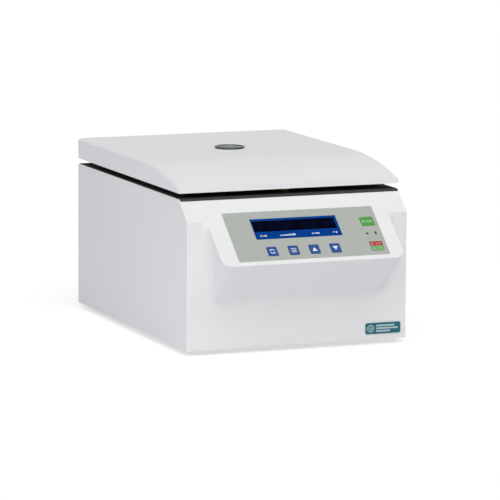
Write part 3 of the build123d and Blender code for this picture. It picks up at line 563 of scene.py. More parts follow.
def circuit_board(name):
    """Green solder resist over copper tracks."""
    colour = (0.012, 0.14, 0.05)
    material, tree, shader = start_material(name, colour, 0.3, Coat_Weight=0.4, Coat_Roughness=0.15)
    place = add(tree, "TexCoord").outputs["Object"]
    cells = add(tree, "TexBrick", {
        "Vector": place, "Color1": (0.0, 0.0, 0.0, 1.0), "Color2": (1.0, 1.0, 1.0, 1.0), "Scale": 180.0,
        "Mortar Size": 0.04,
    })
    tracks = add(tree, "RGBToBW", {"Color": cells.outputs["Color"]}).outputs["Val"]
    drift(tree, shader, colour, tracks, 0.7, 1.7)
    rough_between(tree, shader, tracks, 0.24, 0.4)
    bump(tree, shader, tracks, 0.3, 0.0001)
    return material


def clear_acrylic(name):
    """Clear, faintly cool acrylic with fine wipe marks."""
    colour = (0.86, 0.91, 0.92)
    material, tree, shader = start_material(
        name, colour, 0.04, Transmission_Weight=0.92, IOR=1.49, Coat_Weight=0.3, Coat_Roughness=0.03,
    )
    wiped = scratched(tree, 70.0, 0.5)
    rough_between(tree, shader, wiped, 0.03, 0.2)
    tone = cloudy(tree, 20.0)
    drift(tree, shader, colour, tone, 0.97, 1.0)
    return material


def lamp_lens(name, colour):
    """Small diffusing lamp lens, unlit."""
    material, tree, shader = start_material(name, colour, 0.25, Coat_Weight=0.5, Coat_Roughness=0.06)
    tone = cloudy(tree, 400.0)
    drift(tree, shader, colour, tone, 0.7, 1.2)
    rough_between(tree, shader, tone, 0.18, 0.34)
    return material


def pale_floor(name):
    """Pale studio floor with a faint drift in tone, which reads lighter than the light it gives back."""
    colour = (0.86, 0.85, 0.88)
    material, tree, shader = start_material(name, colour, 0.7)
    tone = cloudy(tree, 0.8)
    base = drift(tree, shader, colour, tone, 0.995, 1.005)
    seen = add(tree, "LightPath").outputs["Is Camera Ray"]
    over(tree, shader, base, seen, (0.46, 0.455, 0.47))
    glow = mixed(tree, seen, (0.0, 0.0, 0.0, 1.0), (1.0, 1.0, 1.0, 1.0))
    tree.links.new(glow, shader.inputs["Emission Color"])
    shader.inputs["Emission Strength"].default_value = 0.64
    return material


def recipes():
    """How each finish is made, by its name: the function that makes it and its values."""
    look = finish()
    return {
        # The frame brings plain materials of its own under these names, and finish_named returns
        # those, so the recipes in this first block are not in use.
        "white_casing": (white_moulding, look.casing, look.gloss),
        "white_lid": (white_moulding, look.lid, look.gloss - 0.06),
        "dark_plastic": (dark_moulding,),
        "overlay_film": (printed_film, look.overlay, 0.46),
        "blue_key": (printed_film, look.blue, 0.4, 0.03),
        "green_key": (printed_film, look.green, 0.4, 0.08),
        "red_key": (printed_film, look.red, 0.4, 0.08),
        "badge_teal": (printed_film, look.teal, 0.35, 0.15),
        "stainless": (turned_metal, (0.60, 0.61, 0.62), 0.24, 700.0),
        "rotor_aluminium": (turned_metal, (0.66, 0.67, 0.69), 0.28, 1100.0),
        "knob_anodised": (turned_metal, (0.07, 0.07, 0.078), 0.34, 1400.0),
        "brass": (turned_metal, (0.93, 0.80, 0.57), 0.45, 1600.0, striker_axis(), 0.2),
        "board": (circuit_board,),
        # These names are only used here.
        "liner": (dark_moulding, (0.02, 0.02, 0.022), 0.42),
        "rubber": (soft_rubber,),
        "gasket_rubber": (soft_rubber, (0.01, 0.01, 0.011)),
        # painted shade: a dark sheet on the deck, which stands in for the shadow under the lid
        "seal_foam": (soft_rubber, (0.036, 0.036, 0.031), 0.08, 0.03),
        "glossy_rim": (glossy_moulding, (0.02, 0.021, 0.024)),
        "blue_window": (tinted_window, look.blue, 0.3, 0.04),
        "display_field": (tinted_window, (0.0004, 0.001, 0.008), 0.2, 0.03),
        "ghost_digits": (tinted_window, (0.001, 0.004, 0.03), 0.2, 0.03),
        "light_green_key": (printed_film, (0.17, 0.41, 0.14), 0.4),
        "pale_ink": (printed_film, look.ink, 0.5),
        "green_ink": (printed_film, (0.29, 0.58, 0.26), 0.5),
        "red_ink": (printed_film, (0.64, 0.24, 0.24), 0.5),
        "badge_ink": (printed_film, (0.46, 0.60, 0.62), 0.5),
        "dark_ink": (printed_film, (0.035, 0.04, 0.04), 0.5),
        "ground_steel": (turned_metal, (0.66, 0.66, 0.67), 0.2, 1800.0),
        "sheet_steel": (brushed_metal, (0.5, 0.5, 0.49), 0.36),
        "zinc": (zinc_plate,),
        "powder_grey": (powder_coat,),
        "cast_iron": (cast_iron,),
        "copper": (copper_winding,),
        "acrylic": (clear_acrylic,),
        "lamp": (lamp_lens, (0.04, 0.06, 0.05)),
        "pale_floor": (pale_floor,),
    }


def finish_named(name):
    """A finish by its name: the material that the frame brings under that name, or else its recipe."""
    if name not in bpy.data.materials:
        maker, *values = recipes()[name]
        maker(name, *values)
    return bpy.data.materials[name]


def dress(node, name):
    """Gives a CAD node its finish."""
    mesh = NODES[node].data
    mesh.materials.clear()
    mesh.materials.append(finish_named(name))


def dress_all(finishes):
    """Gives CAD nodes their finishes: the nodes of each finish, by its name."""
    for name, nodes in finishes.items():
        for node in nodes:
            dress(node, name)


# ------------------------------------------------------------------ mesh helpers
def link_piece(name, mesh, finish_name, body, sharp=35.0):
    """Puts a new mesh into the scene with its finish and lets it ride on a body."""
    piece = bpy.data.objects.new(name, mesh)
    bpy.context.scene.collection.objects.link(piece)
    mesh.materials.append(finish_named(finish_name))
    mesh.shade_smooth()
    mesh.set_sharp_from_angle(angle=math.radians(sharp))
    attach(piece, body)
    return piece


def mesh_of(name, shape):
    """A mesh from a bmesh, cleaned and with its faces turned outward."""
    bmesh.ops.remove_doubles(shape, verts=shape.verts, dist=WELD)
    bmesh.ops.recalc_face_normals(shape, faces=shape.faces)
    mesh = bpy.data.meshes.new(name)
    shape.to_mesh(mesh)
    shape.free()
    return mesh


def prisms(name, outlines, place, height):
    """Flat shapes raised by a height from a plane: outlines are closed loops of (across, up) points."""
    shape = bmesh.new()
    for outline in outlines:
        low = [shape.verts.new(place @ Vector((x, y, 0.0))) for x, y in outline]
        high = [shape.verts.new(place @ Vector((x, y, height))) for x, y in outline]
        count = len(outline)
        shape.faces.new(high)
        shape.faces.new(low[::-1])
        for i in range(count):
            j = (i + 1) % count
            shape.faces.new((low[i], low[j], high[j], high[i]))
    return mesh_of(name, shape)


def lathe(name, profile, axis, steps):
    """A closed (radius, height) profile turned about an upright axis."""
    shape = bmesh.new()
    rings = []
    for i in range(steps):
        turn = 2 * math.pi * i / steps
        across, along = math.cos(turn), math.sin(turn)
        rings.append([shape.verts.new((axis.x + r * across, axis.y + r * along, z)) for r, z in profile])
    on_axis = [radius < ON_AXIS for radius, _ in profile]
    count = len(profile)
    for i in range(steps):
        here, there = rings[i], rings[(i + 1) % steps]
        for j in range(count):
            k = (j + 1) % count
            if on_axis[j] and on_axis[k]:
                continue
            corners = [here[j], there[j], there[k], here[k]]
            if on_axis[j]:
                corners = [here[j], there[k], here[k]]
            elif on_axis[k]:
                corners = [here[j], there[j], here[k]]
            shape.faces.new(corners)
    return mesh_of(name, shape)


def swept(name, path, radius, sides=10):
    """A round wire of one closed solid along a list of points."""
    shape = bmesh.new()
    previous = None
    ends = []
    normal = None
    for i, point in enumerate(path):
        ahead = path[min(i + 1, len(path) - 1)]
        behind = path[max(i - 1, 0)]
        tangent = (ahead - behind).normalized()
        if normal is None:
            normal = tangent.orthogonal().normalized()
        normal = (normal - tangent * normal.dot(tangent)).normalized()
        side = tangent.cross(normal)
        loop = []
        for k in range(sides):
            turn = 2 * math.pi * k / sides
            loop.append(shape.verts.new(point + (normal * math.cos(turn) + side * math.sin(turn)) * radius))
        if previous:
            for k in range(sides):
                shape.faces.new((previous[k], previous[(k + 1) % sides], loop[(k + 1) % sides], loop[k]))
        else:
            ends.append(loop[::-1])
        previous = loop
    ends.append(previous)
    for loop in ends:
        shape.faces.new(loop)
    return mesh_of(name, shape)


def face_frame(node, outward):
    """The outer face of a node: a matrix at its middle (X across, Y up the face, Z out) and its size."""
    out = Vector(outward).normalized()
    across = Vector((1.0, 0.0, 0.0))
    up = out.cross(across)
    turn = Matrix((across, up, out))
    points = [turn @ vertex.co for vertex in NODES[node].data.vertices]
    low = Vector([min(p[i] for p in points) for i in range(3)])
    high = Vector([max(p[i] for p in points) for i in range(3)])
    middle = (low + high) / 2
    middle.z = high.z
    matrix = turn.transposed().to_4x4()
    matrix.translation = turn.transposed() @ middle
    return matrix, high - low


def middle_of(node):
    low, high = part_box(node)
    return (low + high) / 2


def half_width(node):
    """Half of a node's width across the device."""
    low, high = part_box(node)
    return (high.x - low.x) / 2


def striker_axis():
    """The striker's upright axis."""
    middle = middle_of("striker_pin")
    return Vector((middle.x, middle.y, 0.0))


# ------------------------------------------------------------------ flat outlines for printed symbols
def bar(x, y, width, height):
    """A rectangle about its middle."""
    left, right, low, high = x - width / 2, x + width / 2, y - height / 2, y + height / 2
    return [(left, low), (right, low), (right, high), (left, high)]


def dot(x, y, radius, steps=20):
    """A disc."""
    turns = [2 * math.pi * i / steps for i in range(steps)]
    return [(x + radius * math.cos(t), y + radius * math.sin(t)) for t in turns]


def pill(x, y, width, height, corner, steps=6):
    """A bar with rounded corners."""
    points = []
    for cx, cy, first in ((1, 1, 0.0), (-1, 1, 0.5), (-1, -1, 1.0), (1, -1, 1.5)):
        for i in range(steps + 1):
            turn = math.pi * (first + 0.5 * i / steps)
            points.append((
                x + cx * (width / 2 - corner) + corner * math.cos(turn),
                y + cy * (height / 2 - corner) + corner * math.sin(turn),
            ))
    return points


def triangle(x, y, width, height, turn=0.0):
    """A triangle that points up, turned about its middle."""
    cos, sin = math.cos(turn), math.sin(turn)
    corners = ((-width / 2, -height / 2), (width / 2, -height / 2), (0.0, height / 2))
    return [(x + px * cos - py * sin, y + px * sin + py * cos) for px, py in corners]


def turns_between(start, end, steps):
    """Angles in radians from one angle in degrees to another."""
    return [math.radians(start + (end - start) * i / steps) for i in range(steps + 1)]


def arc_band(x, y, inner, outer, start, end, steps=24):
    """Part of a ring between two angles in degrees."""
    turns = turns_between(start, end, steps)
    outside = [(x + outer * math.cos(t), y + outer * math.sin(t)) for t in turns]
    inside = [(x + inner * math.cos(t), y + inner * math.sin(t)) for t in reversed(turns)]
    return outside + inside


def digit_segments(x, y, height):
    """The seven segments of an unlit digit, leaning a little."""
    width, thick = height * 0.52, height * 0.11
    gap, lean = thick * 0.2, 0.12
    half = height / 2
    reach = half - thick / 2
    outlines = [bar(0, row * reach, width - 2 * thick - gap, thick) for row in (-1, 0, 1)]
    for column in (-1, 1):
        for row in (-0.5, 0.5):
            outlines.append(bar(column * (width - thick) / 2, row * reach, thick, half - thick - gap))
    return [[(x + px + py * lean, y + py) for px, py in outline] for outline in outlines]


# ------------------------------------------------------------------ pieces, one operator each
class CENTRIFUGE_OT_casing(bpy.types.Operator):
    """Finish the moulded casing, its base plate and its feet"""

    bl_idname = "centrifuge.casing"
    bl_label = "Casing and base"

    def execute(self, context):
        dress_all({
            "white_casing": ["casing"], "sheet_steel": ["base_plate"], "rubber": ["rubber_feet"],
            "zinc": ["base_screws"],
        })
        return {"FINISHED"}


class CENTRIFUGE_OT_lid(bpy.types.Operator):
    """Finish the lid, its liner, its striker and its hinge leaves"""

    bl_idname = "centrifuge.lid"
    bl_label = "Lid"

    def execute(self, context):
        dress_all({
            "white_lid": ["lid_shell"], "liner": ["lid_liner"], "ground_steel": ["striker_pin"],
            "zinc": ["liner_screws", "lid_hinge_leaves"],
        })
        self.guide_cone()
        self.splash_disc()
        return {"FINISHED"}

    def guide_cone(self):
        """The striker's brass cone with its collar, whose tip just reaches into the deck's hole."""
        low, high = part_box("striker_cone")
        outer, bore, tip = half_width("striker_cone"), 2.2 * MM, low.z - 1.8 * MM
        profile = [
            (bore, tip), (bore + 0.4 * MM, tip), (outer - 0.3 * MM, high.z - 3.8 * MM),
            (outer, high.z - 3.3 * MM), (outer, high.z), (bore, high.z),
        ]
        mesh = lathe("guide_cone", profile, striker_axis(), prints().round_steps)
        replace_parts(link_piece("guide_cone", mesh, "brass", "lid"), "striker_cone")

    def splash_disc(self):
        """Spun stainless disc under the liner, with a bead round its rim and its window."""
        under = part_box("lid_liner")[0].z
        rim, window, flat = half_width("chamber_gasket") - 16 * MM, 14.4 * MM, 0.8 * MM
        profile = [
            (window, under), (window, under - 1.6 * MM), (window + 1.4 * MM, under - 2.2 * MM),
            (window + 3.0 * MM, under - 1.4 * MM), (window + 5.0 * MM, under - flat),
            (rim - 9 * MM, under - flat), (rim - 6 * MM, under - 2.0 * MM),
            (rim - 3 * MM, under - 2.0 * MM), (rim, under - 0.7 * MM), (rim, under),
        ]
        mesh = lathe("splash_disc", profile, ROTOR_AXIS, prints().round_steps)
        link_piece("splash_disc", mesh, "stainless", "lid")


class CENTRIFUGE_OT_sight_glass(bpy.types.Operator):
    """Sight glass with a gently domed top, level with its polished rim"""

    bl_idname = "centrifuge.sight_glass"
    bl_label = "Sight glass"

    def execute(self, context):
        dress("sight_glass_bezel", "glossy_rim")
        low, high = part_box("sight_glass")
        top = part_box("sight_glass_bezel")[1].z - 0.15 * MM
        radius = half_width("sight_glass")
        opening = min(radius, self.opening()) - 0.05 * MM
        steps, rise = 8, 0.5 * MM
        profile = [(0.0, low.z), (radius, low.z), (radius, high.z)]
        for i in range(steps + 1):
            share = 1 - i / steps
            profile.append((opening * share, top - rise * share * share))
        mesh = lathe("sight_dome", profile, ROTOR_AXIS, prints().round_steps)
        piece = link_piece("sight_dome", mesh, "acrylic", "lid", 50.0)
        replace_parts(piece, "sight_glass")
        return {"FINISHED"}

    def opening(self):
        """Inner radius of the rim near its top."""
        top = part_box("sight_glass_bezel")[1].z
        near = [v.co for v in NODES["sight_glass_bezel"].data.vertices if v.co.z > top - 1.2 * MM]
        return min(math.hypot(p.x - ROTOR_AXIS.x, p.y - ROTOR_AXIS.y) for p in near)


class CENTRIFUGE_OT_hinges(bpy.types.Operator):
    """Finish the fixed hinge leaves and pins, and wind real springs round the pins"""

    bl_idname = "centrifuge.hinges"
    bl_label = "Hinges"

    def execute(self, context):
        dress_all({"zinc": ["hinge_brackets", "hinge_pins", "hinge_screws"]})
        self.springs()
        return {"FINISHED"}

    def springs(self):
        """One joined mesh of four coils, as wide as the CAD node's grooved sleeves."""
        low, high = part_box("hinge_springs")
        outer = (high.z - low.z) / 2
        wire = 0.42 * MM
        coil_radius = outer - wire
        turns, steps, length = 9, 20, 8.2 * MM
        joined = bmesh.new()
        for start in spring_middles():
            path = []
            for i in range(turns * steps + 1):
                turn = 2 * math.pi * i / steps
                path.append(Vector((
                    start + length * (i / (turns * steps) - 0.5),
                    HINGE_LINE.y + coil_radius * math.cos(turn),
                    HINGE_LINE.z + coil_radius * math.sin(turn),
                )))
            one = swept("coil", path, wire, 8)
            joined.from_mesh(one)
            bpy.data.meshes.remove(one)
        mesh = bpy.data.meshes.new("hinge_coils")
        joined.to_mesh(mesh)
        joined.free()
        piece = link_piece("hinge_coils", mesh, "ground_steel", "chassis", 60.0)
        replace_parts(piece, "hinge_springs")


def spring_middles():
    """Where each spring of the CAD node has its middle along the hinge line."""
    places = sorted(v.co.x for v in NODES["hinge_springs"].data.vertices)
    groups = [[places[0]]]
    for x in places[1:]:
        if x - groups[-1][-1] > 2 * MM:
            groups.append([])
        groups[-1].append(x)
    return [(group[0] + group[-1]) / 2 for group in groups]


class CENTRIFUGE_OT_console(bpy.types.Operator):
    """Finish the keypad film and its lamps, with the printed dashes beside them"""

    bl_idname = "centrifuge.console"
    bl_label = "Console film"

    def execute(self, context):
        dress("keypad_overlay", "overlay_film")
        dress("status_leds", "lamp")
        self.lamp_marks()
        return {"FINISHED"}

    def lamp_marks(self):
        """A short dash to the right of the left lamp, one above and one below the right lamp."""
        place, _ = face_frame("keypad_overlay", CONSOLE_OUT)
        lamps, _ = face_frame("status_leds", CONSOLE_OUT)
        local = place.inverted() @ lamps.translation
        apart = half_width("status_leds") - 1.6 * MM
        left, right, y = local.x - apart, local.x + apart, local.y
        outlines = [bar(left + 2.7 * MM, y - 0.6 * MM, 1.3 * MM, 1.0 * MM)]
        outlines += [bar(right, y + side * 2.5 * MM, 2.2 * MM, 1.0 * MM) for side in (-1, 1)]
        mesh = prisms("lamp_marks", outlines, place, prints().film)
        link_piece("lamp_marks", mesh, "dark_ink", "chassis")


class CENTRIFUGE_OT_display(bpy.types.Operator):
    """Display window with its dark field, unlit digits and four printed symbols"""

    bl_idname = "centrifuge.display"
    bl_label = "Display"

    def execute(self, context):
        dress("display_window", "blue_window")
        film = prints().film
        place, size = face_frame("display_window", CONSOLE_OUT)
        field = (-0.01 * size.x, 0.13 * size.y, 0.955 * size.x, 0.52 * size.y)
        mesh = prisms("display_field", [pill(*field, 0.6 * MM)], place, film)
        link_piece("display_field", mesh, "display_field", "chassis")
        self.digits(place, size, field, film)
        self.symbols(place, size, film)
        return {"FINISHED"}

    def digits(self, place, size, field, film):
        """Unlit seven-segment digits in four groups."""
        height = prints().digit_height
        pitch = height * 0.72
        outlines = []
        for share, count in ((-0.40, 1), (-0.16, 5), (0.16, 3), (0.39, 2)):
            for i in range(count):
                x = share * size.x + (i - (count - 1) / 2) * pitch
                outlines += digit_segments(x, field[1], height)
        mesh = prisms("display_digits", outlines, place, film * 1.5)
        link_piece("display_digits", mesh, "ghost_digits", "chassis")

    def symbols(self, place, size, film):
        """Under each group of digits: rotor, speed, time and dial symbols in pale ink."""
        y, high = -0.33 * size.y, 2.9 * MM
        rotor, speed, time, dial = [share * size.x for share in (-0.415, -0.125, 0.20, 0.425)]
        ring, clock, knob = rotor - 1.6 * MM, time - 3.6 * MM, dial - 1.0 * MM
        outlines = [
            arc_band(ring, y, 0.36 * high, 0.5 * high, 0, 350), dot(ring, y, 0.15 * high),
            arc_band(clock, y, 0.34 * high, 0.5 * high, -250, 80), bar(clock, y, 0.5 * MM, high * 0.4),
            arc_band(knob, y, 0.34 * high, 0.5 * high, -40, 220),
            bar(dial + 2.2 * MM, y, 1.6 * MM, 0.75 * high),
        ]
        for i in range(3):
            outlines.append(bar(rotor + (1.5 + 1.5 * i) * MM, y, 1.0 * MM, high * (0.5 + 0.25 * i)))
            outlines.append(bar(time + (0.2 + 1.9 * i) * MM, y, 1.3 * MM, 0.75 * high))
        for i in range(11):
            x, tall = speed + (i - 5) * 1.9 * MM, high * (0.5 + 0.05 * i)
            outlines.append(bar(x, y - high * (0.25 - 0.025 * i), 1.25 * MM, tall))
        mesh = prisms("display_symbols", outlines, place, film)
        link_piece("display_symbols", mesh, "pale_ink", "chassis")


class CENTRIFUGE_OT_keys(bpy.types.Operator):
    """The six keys with the symbols printed on them"""

    bl_idname = "centrifuge.keys"
    bl_label = "Keys"

    def execute(self, context):
        symbols = (
            ("key_mode", "blue_key", self.cycle), ("key_set", "blue_key", self.sliders),
            ("key_up", "blue_key", self.upward), ("key_down", "blue_key", self.downward),
        )
        for node, finish_name, draw in symbols:
            dress(node, finish_name)
            place, width, _ = self.cap(node)
            self.printed(node, "symbol", draw(prints().symbol * width), place, "pale_ink", "blue_key")
        dress("key_start", "green_key")
        place, width, length = self.cap("key_start")
        legend = self.legend(0.70 * width, 0.36 * length)
        self.printed("key_start", "symbol", legend, place, "green_ink", "green_key")
        self.two_halves()
        return {"FINISHED"}

    def cap(self, node):
        """The middle of a key's cap and the cap's width and length."""
        place, size = face_frame(node, CONSOLE_OUT)
        return place, size.x - 2 * FLANGE, size.y - 2 * FLANGE

    def printed(self, node, what, outlines, place, finish_name, slot, layers=2):
        """Prints outlines on a key, as thick as a number of layers of film."""
        name = node + "_" + what
        link_piece(name, prisms(name, outlines, place, prints().film * layers), finish_name, node)

    def two_halves(self):
        """Red upper half with a stop square, green lower half with a lift-out arrow."""
        node = "key_stop_open"
        dress(node, "overlay_film")
        place, width, length = self.cap(node)
        above, below = 0.255 * length, -0.250 * length
        upper = pill(0, above, 0.97 * width, 0.46 * length, 0.7 * MM)
        lower = pill(0, below, 0.97 * width, 0.46 * length, 0.7 * MM)
        self.printed(node, "stop_half", [upper], place, "red_key", "red_key", 1)
        self.printed(node, "open_half", [lower], place, "light_green_key", "green_key", 1)
        high = 0.22 * length
        stop = [bar(-0.30 * width, above, high, high)]
        stop += [bar((0.02 + 0.14 * i) * width, above, 0.09 * width, 0.8 * high) for i in range(3)]
        self.printed(node, "stop_symbol", stop, place, "red_ink", "red_key")
        arrow = [
            triangle(-0.27 * width, -0.215 * length, 1.5 * high, 0.6 * high),
            bar(-0.27 * width, -0.335 * length, 1.5 * high, 0.22 * high),
        ]
        arrow += [bar((0.05 + 0.14 * i) * width, below, 0.09 * width, 0.8 * high) for i in range(3)]
        self.printed(node, "open_symbol", arrow, place, "green_ink", "green_key")

    def legend(self, width, height):
        """Play triangle followed by four short bars."""
        outlines = [triangle(-0.36 * width, 0.0, height, 0.9 * height, -math.pi / 2)]
        outlines += [bar((-0.05 + 0.17 * i) * width, 0.0, 0.10 * width, 0.85 * height) for i in range(4)]
        return outlines

    def cycle(self, unit):
        """Two arrows that chase each other round a circle."""
        outlines = []
        for start in (20, 200):
            outlines.append(arc_band(0, 0, 0.36 * unit, 0.50 * unit, start, start + 115))
            tip = math.radians(start + 122)
            outlines.append(triangle(
                0.43 * unit * math.cos(tip), 0.43 * unit * math.sin(tip), 0.42 * unit, 0.32 * unit, tip,
            ))
        return outlines

    def sliders(self, unit):
        """Three slider lines, each with its stop."""
        outlines = []
        for y, stop in ((0.38, -0.2), (0.0, 0.24), (-0.38, -0.05)):
            outlines.append(bar(0, y * unit, 1.1 * unit, 0.1 * unit))
            outlines.append(bar(stop * unit, y * unit, 0.18 * unit, 0.3 * unit))
        return outlines

    def upward(self, unit):
        return [triangle(0, 0, unit, 0.9 * unit)]

    def downward(self, unit):
        return [triangle(0, 0, unit, 0.9 * unit, math.pi)]


class CENTRIFUGE_OT_badge(bpy.types.Operator):
    """Teal badge with a plain rotor motif and bars"""

    bl_idname = "centrifuge.badge"
    bl_label = "Badge"

    def execute(self, context):
        dress("badge", "badge_teal")
        place, size = face_frame("badge", (0.0, -1.0, 0.0))
        unit, rotor_x, left = size.y, -0.36 * size.x, -0.20 * size.x
        outlines = [
            arc_band(rotor_x, 0, 0.29 * unit, 0.35 * unit, 0, 359, 40), dot(rotor_x, 0, 0.075 * unit),
        ]
        for i in range(6):
            turn = math.pi / 3 * i
            across, up = 0.18 * unit * math.cos(turn), 0.18 * unit * math.sin(turn)
            outlines.append(dot(rotor_x + across, up, 0.055 * unit))
        for share, part in ((0.25, 0.52), (0.0, 0.62), (-0.25, 0.40)):
            long = part * size.x
            outlines.append(pill(left + long / 2, share * unit, long, 0.15 * unit, 0.06 * unit))
        mesh = prisms("badge_motif", outlines, place, prints().film * 2)
        link_piece("badge_motif", mesh, "badge_ink", "chassis")
        return {"FINISHED"}


class CENTRIFUGE_OT_chamber(bpy.types.Operator):
    """Finish the chamber bowl, its gasket and its armour ring, and lay a dark sheet on the deck as painted shade
    under the lid
    """

    bl_idname = "centrifuge.chamber"
    bl_label = "Chamber"

    def execute(self, context):
        dress_all({
            "stainless": ["chamber_bowl"], "gasket_rubber": ["chamber_gasket"],
            "powder_grey": ["armour_ring"], "rubber": ["shaft_seal"],
        })
        self.deck_shade_sheet()
        return {"FINISHED"}

    def deck_shade_sheet(self):
        """Dark sheet round the bowl and the striker's hole, folded over the deck's front edge: painted shade,
        which darkens the deck where the lid's shadow falls.
        """
        half, level = half_width("casing") - 1.2 * MM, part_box("chamber_bowl")[1].z - 1.2 * MM
        edge = self.deck_edge(level)
        front, back = edge + SHADE_SHEET_BORDER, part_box("casing")[1].y - 3 * MM
        bowl = half_width("chamber_bowl") + 1.5 * MM
        hole, striker = 7.6 * MM, middle_of("striker_pin")
        shape = bmesh.new()
        known = {}
        for side in (1, -1):
            outline = [(0.0, front), (half, front), (half, back), (bowl, back)]
            outline += [
                (bowl * math.cos(t), ROTOR_AXIS.y - bowl * math.sin(t)) for t in turns_between(0, 90, 24)
            ]
            outline += [
                (hole * math.cos(t), striker.y + hole * math.sin(t)) for t in turns_between(90, -90, 16)
            ]
            corners = []
            for x, y in outline:
                spot = (round(side * x, 6) + 0.0, round(y, 6))
                if spot not in known:
                    known[spot] = shape.verts.new((spot[0], spot[1], level))
                corners.append(known[spot])
            shape.faces.new(corners[::side])
        raised = bmesh.ops.extrude_face_region(shape, geom=shape.faces[:])["geom"]
        for item in raised:
            if isinstance(item, bmesh.types.BMVert):
                item.co.z += SHADE_SHEET_THICKNESS
        self.front_fold(shape, half, edge, level)
        # painted shade: this dark sheet darkens the deck where only the lid's shadow falls
        link_piece("deck_shade_sheet", mesh_of("deck_shade_sheet", shape), "seal_foam", "chassis")

    def deck_edge(self, level):
        """Where the console's face, carried on upward, would meet the deck."""
        place, _ = face_frame("keypad_overlay", CONSOLE_OUT)
        up = place.to_3x3() @ Vector((0.0, 1.0, 0.0))
        start = place.translation - CONSOLE_OUT * 0.2 * MM
        return (start + up * ((level - start.z) / up.z)).y

    def front_fold(self, shape, half, edge, level):
        """The dark sheet's front border, bent over the deck's edge and down the slope, so that the painted shade
        reaches the edge.
        """
        out, down = CONSOLE_OUT, CONSOLE_OUT.cross(Vector((1.0, 0.0, 0.0)))
        down = down if down.z < 0 else -down
        corner, rear = Vector((0.0, edge, level)), Vector((0.0, edge + SHADE_SHEET_BORDER, level))
        foot = corner + down * 3.4 * MM
        profile = [
            rear, corner, foot, foot + out * 0.5 * MM, corner + Vector((0.0, -0.2 * MM, 0.75 * MM)),
            rear + Vector((0.0, 0.0, SHADE_SHEET_THICKNESS)),
        ]
        ends = [[shape.verts.new(p + Vector((x, 0.0, 0.0))) for p in profile] for x in (-half, half)]
        shape.faces.new(ends[0])
        shape.faces.new(ends[1][::-1])
        for i in range(len(profile)):
            j = (i + 1) % len(profile)
            shape.faces.new((ends[0][i], ends[1][i], ends[1][j], ends[0][j]))


class CENTRIFUGE_OT_rotor(bpy.types.Operator):
    """Finish the rotor, its lid, its knob and its shaft"""

    bl_idname = "centrifuge.rotor"
    bl_label = "Rotor"

    def execute(self, context):
        dress_all({
            "rotor_aluminium": ["rotor", "rotor_lid"], "knob_anodised": ["rotor_knob"],
            "ground_steel": ["drive_shaft"], "sheet_steel": ["motor_rotor"],
        })
        self.balance_marks()
        return {"FINISHED"}

    def balance_marks(self):
        """Position dots engraved and inked round the rotor lid, one for each pocket."""
        pockets, ring, size = 12, 74 * MM, 1.5 * MM
        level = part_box("rotor_lid")[1].z - 3.05 * MM
        turns = [2 * math.pi * i / pockets for i in range(pockets)]
        outlines = [dot(ring * math.cos(t), ring * math.sin(t), size) for t in turns]
        place = Matrix.Translation((ROTOR_AXIS.x, ROTOR_AXIS.y, level))
        mesh = prisms("pocket_marks", outlines, place, 0.35 * MM)
        link_piece("pocket_marks", mesh, "dark_ink", "rotor_set")


class CENTRIFUGE_OT_drive(bpy.types.Operator):
    """Finish the motor and its mounts"""

    bl_idname = "centrifuge.drive"
    bl_label = "Motor"

    def execute(self, context):
        dress_all({
            "sheet_steel": ["motor_mount_plate"], "rubber": ["vibration_mounts"],
            "cast_iron": ["motor_housing", "motor_end_cap"], "copper": ["motor_stator"],
            "ground_steel": ["motor_bearings"],
        })
        return {"FINISHED"}


class CENTRIFUGE_OT_lock(bpy.types.Operator):
    """Finish the lid lock and its switch"""

    bl_idname = "centrifuge.lock"
    bl_label = "Lid lock"

    def execute(self, context):
        dress_all({
            "dark_plastic": ["lock_housing", "lid_switch"], "zinc": ["lock_bolt"],
            "sheet_steel": ["lock_solenoid"],
        })
        return {"FINISHED"}


class CENTRIFUGE_OT_electronics(bpy.types.Operator):
    """Finish the boards and what stands on them"""

    bl_idname = "centrifuge.electronics"
    bl_label = "Electronics"

    def execute(self, context):
        dress_all({
            "board": ["keypad_board", "control_board", "power_board"],
            "dark_plastic": ["key_switches", "display_module", "capacitors"],
            "sheet_steel": ["heat_sink"],
        })
        return {"FINISHED"}


class CENTRIFUGE_OT_rear(bpy.types.Operator):
    """Finish the rear panel with its inlet, switch, fan and screws"""

    bl_idname = "centrifuge.rear"
    bl_label = "Rear panel"

    def execute(self, context):
        dress_all({
            "powder_grey": ["rear_panel"], "zinc": ["rear_screws"],
            "dark_plastic": [
                "power_inlet", "switch_housing", "power_rocker", "fan_frame", "fan_impeller",
            ],
        })
        return {"FINISHED"}


